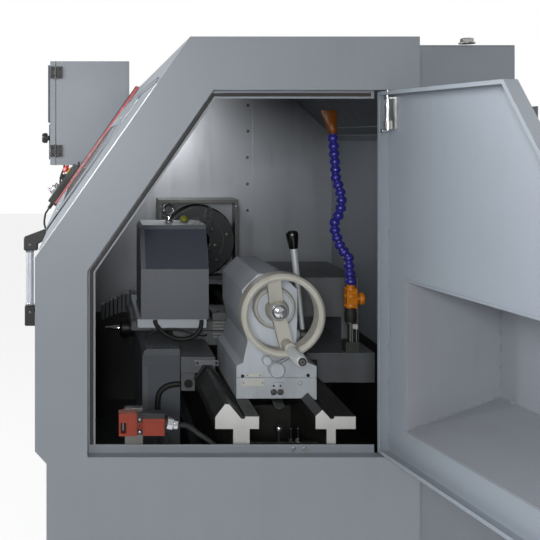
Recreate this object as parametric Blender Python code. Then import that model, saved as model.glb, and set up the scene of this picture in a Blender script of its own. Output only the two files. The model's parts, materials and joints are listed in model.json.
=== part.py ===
"""Enclosed flat-bed CNC turning lathe, seen from its tailstock end.

Metres, +Z up, floor at z = 0. X runs along the spindle axis towards the tailstock,
-Y faces the operator, and the spindle axis lies in the plane y = 0.
"""

import math

import bmesh
import bpy
from mathutils import Matrix, Vector

# Driving sizes of the whole machine
LENGTH = 2.700
CENTRE_HEIGHT = 0.250
WAY_Z = 0.880
FRONT_Y = -0.600
REAR_Y = 0.615
TOP_Z = 1.800
CREASE_Z = 1.280
SLANT = 0.70
SHEET = 0.003
GAP = 0.0003

# Lower part of the enclosure and the base under it
SKIRT_Y = -0.573
SKIRT_TOP = 0.800
SILL_Z = SKIRT_TOP + 0.029
SHEET_BOTTOM = 0.340
DECK_BOTTOM = 0.360
DECK_TOP = 0.400
PLINTH_INSET = 0.060
TOE_HEIGHT = 0.100
TOE_DEPTH = 0.050
SPINE_TOP = 0.600

# Enclosure stations along X, measured from the end panel's outer face
END_X = LENGTH / 2
BULKHEAD_X = END_X - 1.748
OPENING_LEFT_X = BULKHEAD_X - 0.014
OPENING_RIGHT_X = END_X - 0.670
HEADER_Z = TOP_Z - 0.100
STEP_Y = 0.301
STEP_DEPTH = 0.178

# End opening in the end panel
END_LEFT_Y = -0.477
END_RIGHT_Y = 0.256
END_BOTTOM_Z = 0.815
END_TOP_Z = TOP_Z - 0.125
END_CORNER_Z = CREASE_Z - 0.030
END_CORNER_Y = -0.182
REBATE = 0.029
LIP = 0.019
LIP_RELIEF = 0.052

# End door, drawn closed and then turned about its hinge axis
DOOR_ANGLE = 101.8
DOOR_CLEARANCE = 0.003
PAN_DEPTH = 0.0315
PAN_LIP = 0.009
HINGE_Y = 0.229
HINGE_BEHIND = 0.010
HINGE_INSET = 0.0175
HINGE_DEPTH = 0.0155
POCKET_START = 0.075
POCKET_END = 0.600
POCKET_BOTTOM = 0.891
POCKET_TOP = 1.2346
POCKET_DEPTH = 0.243
POCKET_RISE = 0.062
POCKET_SHEET = 0.002
PIN_RADIUS = 0.004
PIN_TOP = END_TOP_Z + 0.015
PIN_ARM = 0.016
PIN_BRACKET_Z = (END_TOP_Z - 0.0915, END_TOP_Z - 0.0162)
SLEEVE_LENGTH = 0.0195
SPRING_RADIUS = 0.0075
SPRING_WIRE = 0.0009
SPRING_LENGTH = 0.032
SPRING_TURNS = 5

# Sliding front door
DOOR_STAND_OFF = 0.003
FRONT_DOOR_LEFT = OPENING_LEFT_X - 0.010
FRONT_DOOR_RIGHT = OPENING_RIGHT_X + 0.036
FRONT_DOOR_BOTTOM = SILL_Z + 0.006
FRONT_DOOR_TOP = HEADER_Z - 0.010
WINDOW_MARGIN_X = 0.120
WINDOW_LOW = 0.080
WINDOW_HIGH = 0.400
HANDLE_X = END_X - 0.6645
HANDLE_RADIUS = 0.012
HANDLE_STAND_OFF = 0.057
HANDLE_TOP = 1.211
HANDLE_BOTTOM = 1.036
BRACKET_WIDTH = 0.030

# Bed: section of the front and rear rails, all from the way height
FRONT_V = ((-0.164, -0.002), (-0.140, 0.030), (-0.129, 0.030), (-0.102, -0.003))
INNER_FLAT = (-0.090, -0.056)
REAR_V = ((0.082, 0.001), (0.099, 0.016), (0.116, -0.002))
OUTER_FLAT = (0.1286, 0.181)
GROOVE_DEPTH = 0.006
RAIL_DEPTH = 0.031
FRONT_WEB = (-0.120, -0.079)
REAR_WEB = (0.109, 0.132)
BED_RIGHT_X = END_X - 0.0926
BED_LEFT_X = 0.120 - END_X
RIB_PITCH = 0.280
RIB_WIDTH = 0.020
RIB_TOP = 0.790
RUNNING = 0.0006

# Headstock, spindle and chuck
HEADSTOCK_LEFT = 0.150 - END_X
HEADSTOCK_RIGHT = BULKHEAD_X - 0.016
HEADSTOCK_HALF = 0.210
HEADSTOCK_TOP = 0.230
SPINDLE_RADIUS = 0.055
SPINDLE_BORE = 0.040
SPINDLE_TAIL = 0.015
NOSE_RADIUS = 0.095
CHUCK_RADIUS = 0.1475
CHUCK_FACE_X = END_X - 1.563
CHUCK_LENGTH = 0.110
CHUCK_BORE = 0.042
JAW_ANGLES = (72.0, 192.0, 312.0)
JAW_WIDTH = 0.034
JAW_TONGUE = 0.020
JAW_SLOT_DEPTH = 0.016
JAW_IN = CHUCK_RADIUS - 0.0855
JAW_OUT = CHUCK_RADIUS - 0.0095
JAW_HEIGHT = 0.040
GUARD_SIDE = 2 * CHUCK_RADIUS + 0.045
GUARD_LENGTH = 0.145
GUARD_LIP = 0.014

# Carriage, each X station measured from the saddle's right face
WING_RIGHT_X = END_X - 0.4265
WING_LEFT_X = WING_RIGHT_X - 0.5235
BRIDGE_LEFT_X = WING_RIGHT_X - 0.4835
BRIDGE_RIGHT_X = WING_RIGHT_X - 0.2235
FRONT_WING = (-0.2095, -0.112)
REAR_WING = (0.150, 0.344)
WING_BOTTOM = 0.012
WING_TOP = 0.057
REAR_WING_TOP = 0.069
SADDLE_TOP = 0.0792
BRIDGE_BOTTOM = 0.036
APRON = (-0.318, 0.665, 0.954)
APRON_LEFT_X = WING_RIGHT_X - 0.4235
APRON_RIGHT_X = WING_RIGHT_X - 0.0235
SCREW_Y = -0.262
SCREW_Z = 0.705
SCREW_RADIUS = 0.016
SCREW_BLOCK = 0.040
SLIDE_THICKNESS = 0.031
SLIDE_Y = (-0.340, 0.110)
TURRET_BASE = (WING_RIGHT_X - 0.5185, WING_RIGHT_X - 0.124, -0.327, -0.118)
TURRET_BASE_THICKNESS = 0.028
COVER = (WING_RIGHT_X - 0.3435, WING_RIGHT_X - 0.119, -0.316, -0.1126)
COVER_HEIGHT = 0.276
COVER_CORNER = 0.030
COVER_SHOULDER = 0.149
COVER_TOP_SETBACK = 0.062
COVER_SHEET = 0.002
POST_X = WING_RIGHT_X - 0.4455
POST_Y = -0.2225
POST_SIDE = 0.130
POST_HEIGHT = 0.150
POST_SLOT = 0.026
POST_SLOT_DEPTH = 0.030
POST_SLOT_RISE = 0.045
REAR_HOUSING_X = (WING_RIGHT_X - 0.4635, WING_RIGHT_X - 0.1335)
REAR_HOUSING_Y = (0.130, 0.290, 0.344)
REAR_HOUSING_Z = (1.022, 1.142)

# Coolant line on the saddle's rear wing
COOLANT_X = WING_RIGHT_X - 0.020
COOLANT_Y = 0.281
PIPE_RADIUS = 0.008
VALVE_BOTTOM = 1.075
VALVE_TOP = 1.140
VALVE_SIDE = 0.030
BALL_RADIUS = 0.015
BALL_NECK = 0.0095
BALL_COUNT = 20

# Tailstock
TAIL_REAR_X = END_X - 0.2273
TAIL_LENGTH = 0.3165
TAIL_Y = (-0.0875, 0.1226)
TAIL_BASE_TOP = 0.056
TAIL_BLOCK_TOP = 0.086
BARREL_HALF = 0.072
BARREL_TOP = 0.078
QUILL_RADIUS = 0.035
QUILL_OUT = 0.0012
QUILL_LENGTH = 0.260
BOSS_RADIUS = 0.045
BOSS_LENGTH = 0.062
WHEEL_RADIUS = 0.1025
WHEEL_INNER = 0.086
WHEEL_RIM_DEPTH = 0.054
WHEEL_HUB = 0.030
WHEEL_HUB_LENGTH = 0.044
WHEEL_FRONT_X = END_X - 0.0711
SPOKE_WIDTH = 0.034
CRANK_RADIUS = 0.083
CRANK_ANGLE = -79.0
CRANK_PIN = 0.005
CRANK_LENGTH = 0.105
CRANK_GRIP = 0.0145
LEVER_X = END_X - 0.385
LEVER_Y = 0.128
LEVER_Z = 1.010
LEVER_HUB = 0.018
LEVER_RISE = 0.240
LEVER_LEAN = 0.026
LEVER_ROD = 0.006
KNOB_LENGTH = 0.050

# Interlock switch on the lower lip
SWITCH_HEAD = (-0.403, -0.3605, 0.8635, 0.917)
SWITCH_BODY = (-0.3475, -0.296, 0.8635, 0.906)
SWITCH_DEPTH = 0.030
BRACKET_Y = (-0.388, -0.345)
BRACKET_TOP = 0.9195
CONDUIT_RADIUS = 0.0065

# Control cabinet, pendant and electrical cabinet
CONTROL_X = (BULKHEAD_X - 0.762, BULKHEAD_X - 0.186)
CONTROL_FRONT = FRONT_Y - 0.025
CONTROL_Z = (CREASE_Z + 0.158, TOP_Z + 0.124)
CONTROL_BACK = -0.280
CONTROL_DOOR = 0.025
PENDANT_X = (BULKHEAD_X - 0.122, BULKHEAD_X - 0.042)
PENDANT_LENGTH = 0.203
PENDANT_THICKNESS = 0.044
PENDANT_START = -0.030
WHEEL_S = 0.030
KNOB_S = 0.094
STOP_S = 0.133
STOP_NECK = 0.010
CABLE_RADIUS = 0.0045
CABINET_X = (BULKHEAD_X - 0.802, BULKHEAD_X + 0.148)
CABINET_Z = (0.500, 1.750)
CABINET_DEPTH = 0.285
CABINET_DOOR = 0.025

AXIS_Z = WAY_Z + CENTRE_HEIGHT


def material(name, colour, roughness, metallic=0.0):
    """A Principled material with one colour."""
    made = bpy.data.materials.new(name)
    made.use_nodes = True
    shader = made.node_tree.nodes["Principled BSDF"]
    shader.inputs["Base Color"].default_value = (*colour, 1.0)
    shader.inputs["Roughness"].default_value = roughness
    shader.inputs["Metallic"].default_value = metallic
    made.diffuse_color = (*colour, 1.0)
    return made


def object_from(bm, name):
    """Turns a bmesh into a linked object."""
    bmesh.ops.recalc_face_normals(bm, faces=bm.faces)
    mesh = bpy.data.meshes.new(name)
    bm.to_mesh(mesh)
    bm.free()
    made = bpy.data.objects.new(name, mesh)
    bpy.context.scene.collection.objects.link(made)
    return made


def in_space(axis, first, second, along):
    """A point from two section coordinates and one along the axis."""
    if axis == "X":
        return (along, first, second)
    if axis == "Y":
        return (first, along, second)
    return (first, second, along)


def prism(outline, axis, low, high, name="piece"):
    """A straight prism of the outline between two stations of the axis."""
    bm = bmesh.new()
    start = [bm.verts.new(in_space(axis, a, b, low)) for a, b in outline]
    end = [bm.verts.new(in_space(axis, a, b, high)) for a, b in outline]
    bm.faces.new(start)
    bm.faces.new(end)
    count = len(outline)
    for index in range(count):
        follow = (index + 1) % count
        bm.faces.new((start[index], start[follow], end[follow], end[index]))
    return object_from(bm, name)


def box(low, high, name="piece"):
    """A box between two corners."""
    outline = [(low[0], low[1]), (high[0], low[1]), (high[0], high[1]), (low[0], high[1])]
    return prism(outline, "Z", low[2], high[2], name)


def offset_path(path, distance):
    """The path moved sideways to its left by a distance, with mitred corners."""
    moved = []
    last = len(path) - 1
    for index, point in enumerate(path):
        before = Vector(path[index]) - Vector(path[max(index - 1, 0)])
        after = Vector(path[min(index + 1, last)]) - Vector(point)
        before = before if before.length else after
        after = after if after.length else before
        first = Vector((-before.y, before.x)).normalized()
        second = Vector((-after.y, after.x)).normalized()
        mitre = (first + second).normalized()
        moved.append(tuple(Vector(point) + mitre * distance / mitre.dot(first)))
    return moved


def folded_sheet(path, thickness, axis, low, high, name="piece", outward=0.0):
    """A folded sheet along a path; its outer face is moved outward to the path's left."""
    outer = offset_path(path, outward)
    inner = offset_path(path, outward - thickness)
    return prism(outer + inner[::-1], axis, low, high, name)


def turned(profile, centre, axis, segments, name="piece", closed=False):
    """A turned piece from (radius, height) points; a closed profile makes a ring."""
    bm = bmesh.new()
    frame = Vector(axis).to_track_quat("Z", "Y").to_matrix()
    rings = []
    for radius, height in profile:
        if radius < 1e-6:
            rings.append([bm.verts.new(Vector(centre) + frame @ Vector((0, 0, height)))])
            continue
        ring = []
        for step in range(segments):
            angle = 2 * math.pi * step / segments
            place = Vector((radius * math.cos(angle), radius * math.sin(angle), height))
            ring.append(bm.verts.new(Vector(centre) + frame @ place))
        rings.append(ring)
    pairs = list(zip(rings, rings[1:]))
    if closed:
        pairs.append((rings[-1], rings[0]))
    for lower, upper in pairs:
        for step in range(segments):
            follow = (step + 1) % segments
            if len(lower) == 1:
                bm.faces.new((lower[0], upper[step], upper[follow]))
            elif len(upper) == 1:
                bm.faces.new((lower[step], lower[follow], upper[0]))
            else:
                bm.faces.new((lower[step], lower[follow], upper[follow], upper[step]))
    return object_from(bm, name)


def rod(start, end, radius, segments=16, name="piece"):
    """A plain round rod between two points."""
    span = Vector(end) - Vector(start)
    profile = [(0, 0), (radius, 0), (radius, span.length), (0, span.length)]
    return turned(profile, start, span, segments, name)


def tube(start, end, outer, inner, segments=24, name="piece"):
    """A round tube between two points."""
    span = Vector(end) - Vector(start)
    profile = [(inner, 0), (outer, 0), (outer, span.length), (inner, span.length)]
    return turned(profile, start, span, segments, name, closed=True)


def lofted(rings, name="piece"):
    """A closed skin through rings of equal point count, capped at both ends."""
    bm = bmesh.new()
    made = [[bm.verts.new(point) for point in ring] for ring in rings]
    count = len(made[0])
    bm.faces.new(made[0])
    bm.faces.new(made[-1])
    for lower, upper in zip(made, made[1:]):
        for step in range(count):
            follow = (step + 1) % count
            bm.faces.new((lower[step], lower[follow], upper[follow], upper[step]))
    return object_from(bm, name)


def smooth_path(points, samples):
    """Evenly spaced points of a Catmull-Rom curve through the given points."""
    ends = [points[0]] + list(points) + [points[-1]]
    dense = []
    for first, second, third, fourth in zip(ends, ends[1:], ends[2:], ends[3:]):
        a, b, c, d = (Vector(p) for p in (first, second, third, fourth))
        for step in range(16):
            t = step / 16
            dense.append(
                0.5 * (2 * b + (c - a) * t + (2 * a - 5 * b + 4 * c - d) * t**2
                       + (3 * b - a - 3 * c + d) * t**3)
            )
    dense.append(Vector(points[-1]))
    lengths = [0.0]
    for lower, upper in zip(dense, dense[1:]):
        lengths.append(lengths[-1] + (upper - lower).length)
    picked = []
    at = 0
    for step in range(samples):
        target = lengths[-1] * step / (samples - 1)
        while at < len(dense) - 2 and lengths[at + 1] < target:
            at += 1
        share = (target - lengths[at]) / max(lengths[at + 1] - lengths[at], 1e-9)
        picked.append(dense[at].lerp(dense[at + 1], min(max(share, 0.0), 1.0)))
    return picked


def swept(path, radii, segments, name="piece"):
    """A round skin along a path with a radius at each of its points."""
    tangent = (path[1] - path[0]).normalized()
    side = tangent.orthogonal().normalized()
    rings = []
    for index, point in enumerate(path):
        ahead = path[min(index + 1, len(path) - 1)] - path[max(index - 1, 0)]
        ahead.normalize()
        side = (side - ahead * side.dot(ahead)).normalized()
        up = ahead.cross(side)
        ring = []
        for step in range(segments):
            angle = 2 * math.pi * step / segments
            ring.append(point + (side * math.cos(angle) + up * math.sin(angle)) * radii[index])
        rings.append(ring)
    return lofted(rings, name)


def cord(points, radius, samples, name):
    """A plain cord as a bevelled curve through the route's points."""
    data = bpy.data.curves.new(name, "CURVE")
    data.dimensions = "3D"
    data.bevel_depth = radius
    data.bevel_resolution = 2
    data.use_fill_caps = True
    path = smooth_path(points, samples)
    spline = data.splines.new("POLY")
    spline.points.add(len(path) - 1)
    for point, place in zip(spline.points, path):
        point.co = (*place, 1.0)
    made = bpy.data.objects.new(name, data)
    bpy.context.scene.collection.objects.link(made)
    return made


def combine(target, others, operation):
    """Joins or cuts the target with each other piece, and removes those pieces."""
    for index, other in enumerate(others):
        modifier = target.modifiers.new(f"{operation}_{index}", "BOOLEAN")
        modifier.operation = operation
        modifier.solver = "EXACT"
        modifier.object = other
    graph = bpy.context.evaluated_depsgraph_get()
    mesh = bpy.data.meshes.new_from_object(target.evaluated_get(graph))
    target.modifiers.clear()
    target.data = mesh
    for other in others:
        bpy.data.objects.remove(other)
    return target


def join(target, *others):
    """A union of pieces that overlap."""
    return combine(target, others, "UNION")


def cut(target, *others):
    """The target without the other pieces."""
    return combine(target, others, "DIFFERENCE")


def soften(piece, width, segments=1):
    """A small bevel along every sharp edge."""
    modifier = piece.modifiers.new("edges", "BEVEL")
    modifier.width = width
    modifier.segments = segments
    modifier.limit_method = "ANGLE"
    modifier.angle_limit = math.radians(30)
    return piece


def finish(piece, name, finish_material, pivot=(0, 0, 0), parent=None):
    """Names a piece, gives it its material, and puts its origin at the pivot."""
    piece.name = name
    piece.data.name = name
    piece.data.materials.clear()
    piece.data.materials.append(finish_material)
    if piece.type == "MESH":
        piece.data.transform(Matrix.Translation(-Vector(pivot)))
        piece.data.shade_smooth()
        piece.data.set_sharp_from_angle(angle=math.radians(35))
    if parent is None:
        piece.location = pivot
    else:
        piece.parent = parent
        piece.location = Vector(pivot) - parent.location
    return piece


def axis_empty(name, place, turn=0.0):
    """An empty on a joint's axis, turned about Z."""
    made = bpy.data.objects.new(name, None)
    made.location = place
    made.rotation_euler = (0, 0, math.radians(turn))
    bpy.context.scene.collection.objects.link(made)
    return made


def slant_y(z):
    """The front's outer face at a height on its slanted upper part."""
    return FRONT_Y + SLANT * (z - CREASE_Z)


def offset_loop(outline, distance):
    """A closed outline, listed counter-clockwise, moved inward by a distance."""
    moved = []
    count = len(outline)
    for index, point in enumerate(outline):
        before = Vector(point) - Vector(outline[index - 1])
        after = Vector(outline[(index + 1) % count]) - Vector(point)
        first = Vector((-before.y, before.x)).normalized()
        second = Vector((-after.y, after.x)).normalized()
        mitre = (first + second).normalized()
        moved.append(tuple(Vector(point) + mitre * distance / mitre.dot(first)))
    return moved


def front_path():
    """The front of the enclosure in section, from the sheet's bottom edge to the roof."""
    return [
        (SKIRT_Y, SHEET_BOTTOM),
        (SKIRT_Y, SKIRT_TOP),
        (FRONT_Y, SILL_Z),
        (FRONT_Y, CREASE_Z),
        (slant_y(TOP_Z), TOP_Z),
    ]


def end_opening(right_y):
    """The end opening's outline with its hinge side at right_y."""
    return [
        (END_LEFT_Y, END_BOTTOM_Z),
        (right_y, END_BOTTOM_Z),
        (right_y, END_TOP_Z),
        (END_CORNER_Y, END_TOP_Z),
        (END_LEFT_Y, END_CORNER_Z),
    ]


STEP_X = END_X - STEP_DEPTH
HINGE_X = END_X - HINGE_BEHIND
HINGE_EDGE_Y = HINGE_Y + HINGE_INSET
SKIN_X = HINGE_X + HINGE_DEPTH
LIP_X = END_X - REBATE
SPINE_Y = (FRONT_WEB[0] - 0.030, REAR_WEB[1] + 0.030)


def deck_outline(inset):
    """The floor plan inside the sheets, stepped in at the rear of the tailstock end."""
    side = END_X - SHEET - GAP - inset
    front = SKIRT_Y + SHEET + GAP + inset
    rear = REAR_Y - SHEET - GAP - inset
    step_x = STEP_X - SHEET - GAP - inset
    step_y = STEP_Y - SHEET - GAP - inset
    return [
        (-side, front), (side, front), (side, step_y), (step_x, step_y), (step_x, rear),
        (-side, rear),
    ]


def build_base(finish_material):
    """Plinth, toe recess, deck and the spine under the bed, one fabricated base."""
    overlap = 0.010
    deck = prism(deck_outline(0.0), "Z", DECK_BOTTOM, DECK_TOP)
    plinth = prism(deck_outline(PLINTH_INSET), "Z", TOE_HEIGHT, DECK_BOTTOM + overlap)
    toe = prism(deck_outline(PLINTH_INSET + TOE_DEPTH), "Z", 0.0, TOE_HEIGHT + overlap)
    spine = box((BED_LEFT_X, SPINE_Y[0], DECK_TOP - overlap), (BED_RIGHT_X, SPINE_Y[1], SPINE_TOP))
    finish(join(deck, plinth, toe, spine), "base", finish_material)


def rail_outlines(bottom):
    """The front and rear rails in section, with their webs down to bottom."""
    low = WAY_Z - RAIL_DEPTH
    groove = WAY_Z - GROOVE_DEPTH
    front = [(y, WAY_Z + rise) for y, rise in FRONT_V]
    front += [(FRONT_V[3][0] + 0.002, groove), (INNER_FLAT[0] - 0.002, groove)]
    front += [(INNER_FLAT[0], WAY_Z), (INNER_FLAT[1], WAY_Z), (INNER_FLAT[1], low)]
    front += [(FRONT_WEB[1], low), (FRONT_WEB[1], bottom), (FRONT_WEB[0], bottom)]
    front += [(FRONT_WEB[0], low), (FRONT_V[0][0], low)]
    rear = [(y, WAY_Z + rise) for y, rise in REAR_V]
    rear += [(REAR_V[2][0] + 0.002, groove), (OUTER_FLAT[0] - 0.002, groove)]
    rear += [(OUTER_FLAT[0], WAY_Z), (OUTER_FLAT[1], WAY_Z), (OUTER_FLAT[1], low)]
    rear += [(REAR_WEB[1], low), (REAR_WEB[1], bottom), (REAR_WEB[0], bottom)]
    rear += [(REAR_WEB[0], low), (REAR_V[0][0], low)]
    return front, rear


def screw_blocks():
    """The X stations of the ball screw's two bearing blocks."""
    right = BED_RIGHT_X - 0.120
    left = BULKHEAD_X + 0.030
    return (left, left + SCREW_BLOCK), (right - SCREW_BLOCK, right)


def build_bed(finish_material):
    """Two rails with V and flat ways, tied by cross ribs, with the screw's bearing blocks."""
    bottom = SPINE_TOP + GAP
    front, rear = rail_outlines(bottom)
    bed = prism(front, "X", BED_LEFT_X, BED_RIGHT_X)
    others = [prism(rear, "X", BED_LEFT_X, BED_RIGHT_X)]
    inside = 0.010
    span = BED_RIGHT_X - BED_LEFT_X - 2 * RIB_PITCH / 4
    ribs = max(2, round(span / RIB_PITCH) + 1)
    for index in range(ribs):
        x = BED_RIGHT_X - RIB_PITCH / 4 - RIB_WIDTH - index * (span - RIB_WIDTH) / (ribs - 1)
        low = (x, FRONT_WEB[1] - inside, bottom)
        others.append(box(low, (x + RIB_WIDTH, REAR_WEB[0] + inside, RIB_TOP)))
    for left, right in screw_blocks():
        low = (left, SCREW_Y - SCREW_BLOCK, SCREW_Z - SCREW_BLOCK)
        others.append(box(low, (right, FRONT_WEB[0] + inside, SCREW_Z + SCREW_BLOCK)))
    join(bed, *others)
    start = (BULKHEAD_X, SCREW_Y, SCREW_Z)
    cut(bed, rod(start, (BED_RIGHT_X, SCREW_Y, SCREW_Z), SCREW_RADIUS + GAP, 20))
    finish(bed, "bed", finish_material)


def build_ball_screw(finish_material):
    """The carriage screw: journals in the blocks and a thicker threaded length between."""
    blocks = screw_blocks()
    journal = SCREW_RADIUS - 0.002
    start = blocks[0][0] - 0.010
    end = blocks[1][1] + 0.010
    low = blocks[0][1] + GAP
    high = blocks[1][0] - GAP
    profile = [(0, 0), (SCREW_RADIUS, 0), (SCREW_RADIUS, end - start), (0, end - start)]
    screw = turned(profile, (start, SCREW_Y, SCREW_Z), (1, 0, 0), 20)
    collar = SCREW_RADIUS + 0.006
    rings = [tube((low, SCREW_Y, SCREW_Z), (low + 0.012, SCREW_Y, SCREW_Z), collar, journal, 20)]
    rings.append(tube((high - 0.012, SCREW_Y, SCREW_Z), (high, SCREW_Y, SCREW_Z), collar, journal, 20))
    finish(join(screw, *rings), "ball_screw", finish_material, (start, SCREW_Y, SCREW_Z))


def build_tray(finish_material):
    """The chip tray: a pan on the deck, open where the bed and its spine pass."""
    left = BULKHEAD_X + GAP
    outline = [(max(x, left), y) for x, y in deck_outline(GAP)]
    tray = prism(outline, "Z", DECK_TOP + GAP, END_BOTTOM_Z - 0.025)
    hollow = prism(offset_loop(outline, SHEET), "Z", DECK_TOP + GAP + SHEET, TOP_Z)
    slot_low = (left - 0.010, FRONT_V[0][0] - 0.006, DECK_TOP - 0.010)
    slot = box(slot_low, (BED_RIGHT_X + 0.006, OUTER_FLAT[1] + 0.006, TOP_Z))
    finish(cut(tray, hollow, slot), "chip_tray", finish_material)


def build_end_panel(finish_material):
    """End panel with the framed opening: a return and a lip behind it, open at the hinge side."""
    path = front_path()
    outline = path + [(STEP_Y, TOP_Z), (STEP_Y, SHEET_BOTTOM)]
    panel = prism(outline, "X", END_X - SHEET, END_X)
    opening = end_opening(END_RIGHT_Y)
    grown = offset_loop(opening, -SHEET)
    frame = prism(grown, "X", LIP_X - SHEET, END_X - SHEET / 2)
    join(panel, frame)
    clear = [(END_LEFT_Y + LIP, END_BOTTOM_Z + LIP), (END_RIGHT_Y, END_BOTTOM_Z + LIP)]
    clear += [(END_RIGHT_Y, END_TOP_Z - LIP)] + offset_loop(opening, LIP)[3:]
    relief_low = (LIP_X - 2 * SHEET, END_RIGHT_Y - LIP_RELIEF, END_BOTTOM_Z - 2 * SHEET)
    relief_high = (LIP_X, END_RIGHT_Y + 2 * SHEET, END_TOP_Z + 2 * SHEET)
    hole = rod(
        (HINGE_X, HINGE_Y, END_BOTTOM_Z - 0.020), (HINGE_X, HINGE_Y, END_TOP_Z + 0.020),
        PIN_RADIUS + GAP,
    )
    cut(
        panel,
        prism(opening, "X", LIP_X, END_X + SHEET),
        prism(clear, "X", LIP_X - 2 * SHEET, END_X + SHEET),
        box(relief_low, relief_high),
        hole,
    )
    finish(panel, "end_panel", finish_material)


def build_rear_wall(finish_material):
    """Rear wall, folded round the step at the tailstock end."""
    inner_end = END_X - SHEET - GAP
    path = [(-inner_end, REAR_Y), (STEP_X, REAR_Y), (STEP_X, STEP_Y), (inner_end, STEP_Y)]
    top = TOP_Z - SHEET - GAP
    finish(folded_sheet(path, SHEET, "Z", SHEET_BOTTOM, top), "rear_wall", finish_material)


def build_front_sheets(finish_material):
    """Skirt along the whole front, and the fixed panels each side of the door opening."""
    inner_end = END_X - SHEET - GAP
    path = front_path()
    skirt = folded_sheet(path[:3], SHEET, "X", -inner_end, inner_end)
    finish(skirt, "front_skirt", finish_material)
    header = (slant_y(HEADER_Z - GAP), HEADER_Z - GAP)
    upper = [(FRONT_Y, SILL_Z + SHEET), (FRONT_Y, CREASE_Z), header]
    right = folded_sheet(upper, SHEET, "X", OPENING_RIGHT_X, inner_end)
    finish(right, "front_panel_right", finish_material)
    left = folded_sheet(upper, SHEET, "X", -inner_end, OPENING_LEFT_X)
    finish(left, "front_panel_left", finish_material)


def build_roof(finish_material):
    """Roof sheet with the header folded down the slant, notched over the step."""
    inner_end = END_X - SHEET - GAP
    path = [(slant_y(HEADER_Z), HEADER_Z), (slant_y(TOP_Z), TOP_Z), (REAR_Y, TOP_Z)]
    roof = folded_sheet(path, SHEET, "X", -inner_end, inner_end)
    notch = box((STEP_X, STEP_Y, TOP_Z - 0.050), (END_X + 0.010, REAR_Y + 0.010, TOP_Z + 0.010))
    finish(cut(roof, notch), "roof", finish_material)


def build_left_cover(finish_material):
    """Left end cover, with a hole for the spindle's tail."""
    outline = front_path() + [(REAR_Y, TOP_Z), (REAR_Y, SHEET_BOTTOM)]
    cover = prism(outline, "X", -END_X, SHEET - END_X)
    start = (-END_X - 0.010, 0, AXIS_Z)
    hole = rod(start, (-END_X + 0.020, 0, AXIS_Z), SPINDLE_RADIUS + 0.004, 32)
    finish(cut(cover, hole), "left_end_cover", finish_material)


def build_bulkhead(finish_material):
    """Bright sheet between the headstock and the work area, notched over the bed."""
    inner = offset_path(front_path(), -SHEET - GAP)
    top = TOP_Z - SHEET - GAP
    bottom = DECK_TOP + GAP
    corner = slant_y(top) + (SHEET + 2 * GAP) * math.hypot(1, SLANT)
    rear = REAR_Y - SHEET - GAP
    outline = [
        (inner[0][0], bottom), inner[1], inner[2], inner[3], (corner, top), (rear, top),
        (rear, bottom),
    ]
    sheet = prism(outline, "X", BULKHEAD_X - SHEET, BULKHEAD_X)
    over_bed = WAY_Z + FRONT_V[1][1] + 0.006
    notch_low = (BULKHEAD_X - 0.020, FRONT_V[0][0] - 0.006, bottom - 0.010)
    notch = box(notch_low, (BULKHEAD_X + 0.020, OUTER_FLAT[1] + 0.006, over_bed))
    start = (BULKHEAD_X - 0.020, 0, AXIS_Z)
    hole = rod(start, (BULKHEAD_X + 0.020, 0, AXIS_Z), NOSE_RADIUS + 0.025, 32)
    finish(cut(sheet, notch, hole), "bulkhead", finish_material)


def build_guard(finish_material):
    """Square guard box round the chuck, with a lip turned in at its front."""
    half = GUARD_SIDE / 2
    start = BULKHEAD_X + GAP
    end = start + GUARD_LENGTH
    guard = box((start, -half, AXIS_Z - half), (end, half, AXIS_Z + half))
    inside = half - SHEET
    hollow = box((start - 0.010, -inside, AXIS_Z - inside), (end - SHEET, inside, AXIS_Z + inside))
    mouth = half - GUARD_LIP
    front = box((end - 0.020, -mouth, AXIS_Z - mouth), (end + 0.010, mouth, AXIS_Z + mouth))
    finish(cut(guard, hollow, front), "chuck_guard", finish_material)


def build_duct(finish_material):
    """Sloped sheet along the upper rear corner, with a flange on its lower edge."""
    rear = REAR_Y - SHEET - GAP
    drop = 0.215
    top = TOP_Z - SHEET - GAP
    path = [(rear - drop, top), (rear - SHEET, top - drop), (rear - SHEET, top - drop - 0.028)]
    start = BULKHEAD_X + GAP
    duct = folded_sheet(path, SHEET, "X", start, STEP_X - SHEET - GAP)
    finish(duct, "rear_duct", finish_material)


def build_headstock(finish_material):
    """Headstock casting seated on the bed, bored for the spindle."""
    bottom = WAY_Z + FRONT_V[1][1] + GAP
    top = AXIS_Z + HEADSTOCK_TOP
    chamfer = 0.050
    half = HEADSTOCK_HALF
    outline = [(-half, bottom), (half, bottom), (half, top - chamfer), (half - chamfer, top)]
    outline += [(chamfer - half, top), (-half, top - chamfer)]
    casting = prism(outline, "X", HEADSTOCK_LEFT, HEADSTOCK_RIGHT)
    start = (HEADSTOCK_LEFT - 0.020, 0, AXIS_Z)
    bore = rod(start, (HEADSTOCK_RIGHT + 0.020, 0, AXIS_Z), SPINDLE_RADIUS + GAP, 32)
    finish(cut(casting, bore), "headstock", finish_material)


def build_spindle(finish_material):
    """Hollow spindle with its nose flange."""
    start = -END_X - SPINDLE_TAIL
    nose = HEADSTOCK_RIGHT + GAP - start
    end = CHUCK_FACE_X - CHUCK_LENGTH - GAP - start
    profile = [(SPINDLE_BORE, 0), (SPINDLE_RADIUS, 0), (SPINDLE_RADIUS, nose)]
    profile += [(NOSE_RADIUS, nose), (NOSE_RADIUS, end), (SPINDLE_BORE, end)]
    spindle = turned(profile, (start, 0, AXIS_Z), (1, 0, 0), 32, closed=True)
    finish(spindle, "spindle", finish_material, (start, 0, AXIS_Z))


def about_spindle(piece, angle):
    """Turns a piece drawn at the origin about X and lifts it to the spindle axis."""
    turn = Matrix.Rotation(math.radians(angle), 4, "X")
    piece.data.transform(Matrix.Translation((0, 0, AXIS_Z)) @ turn)
    return piece


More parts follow.
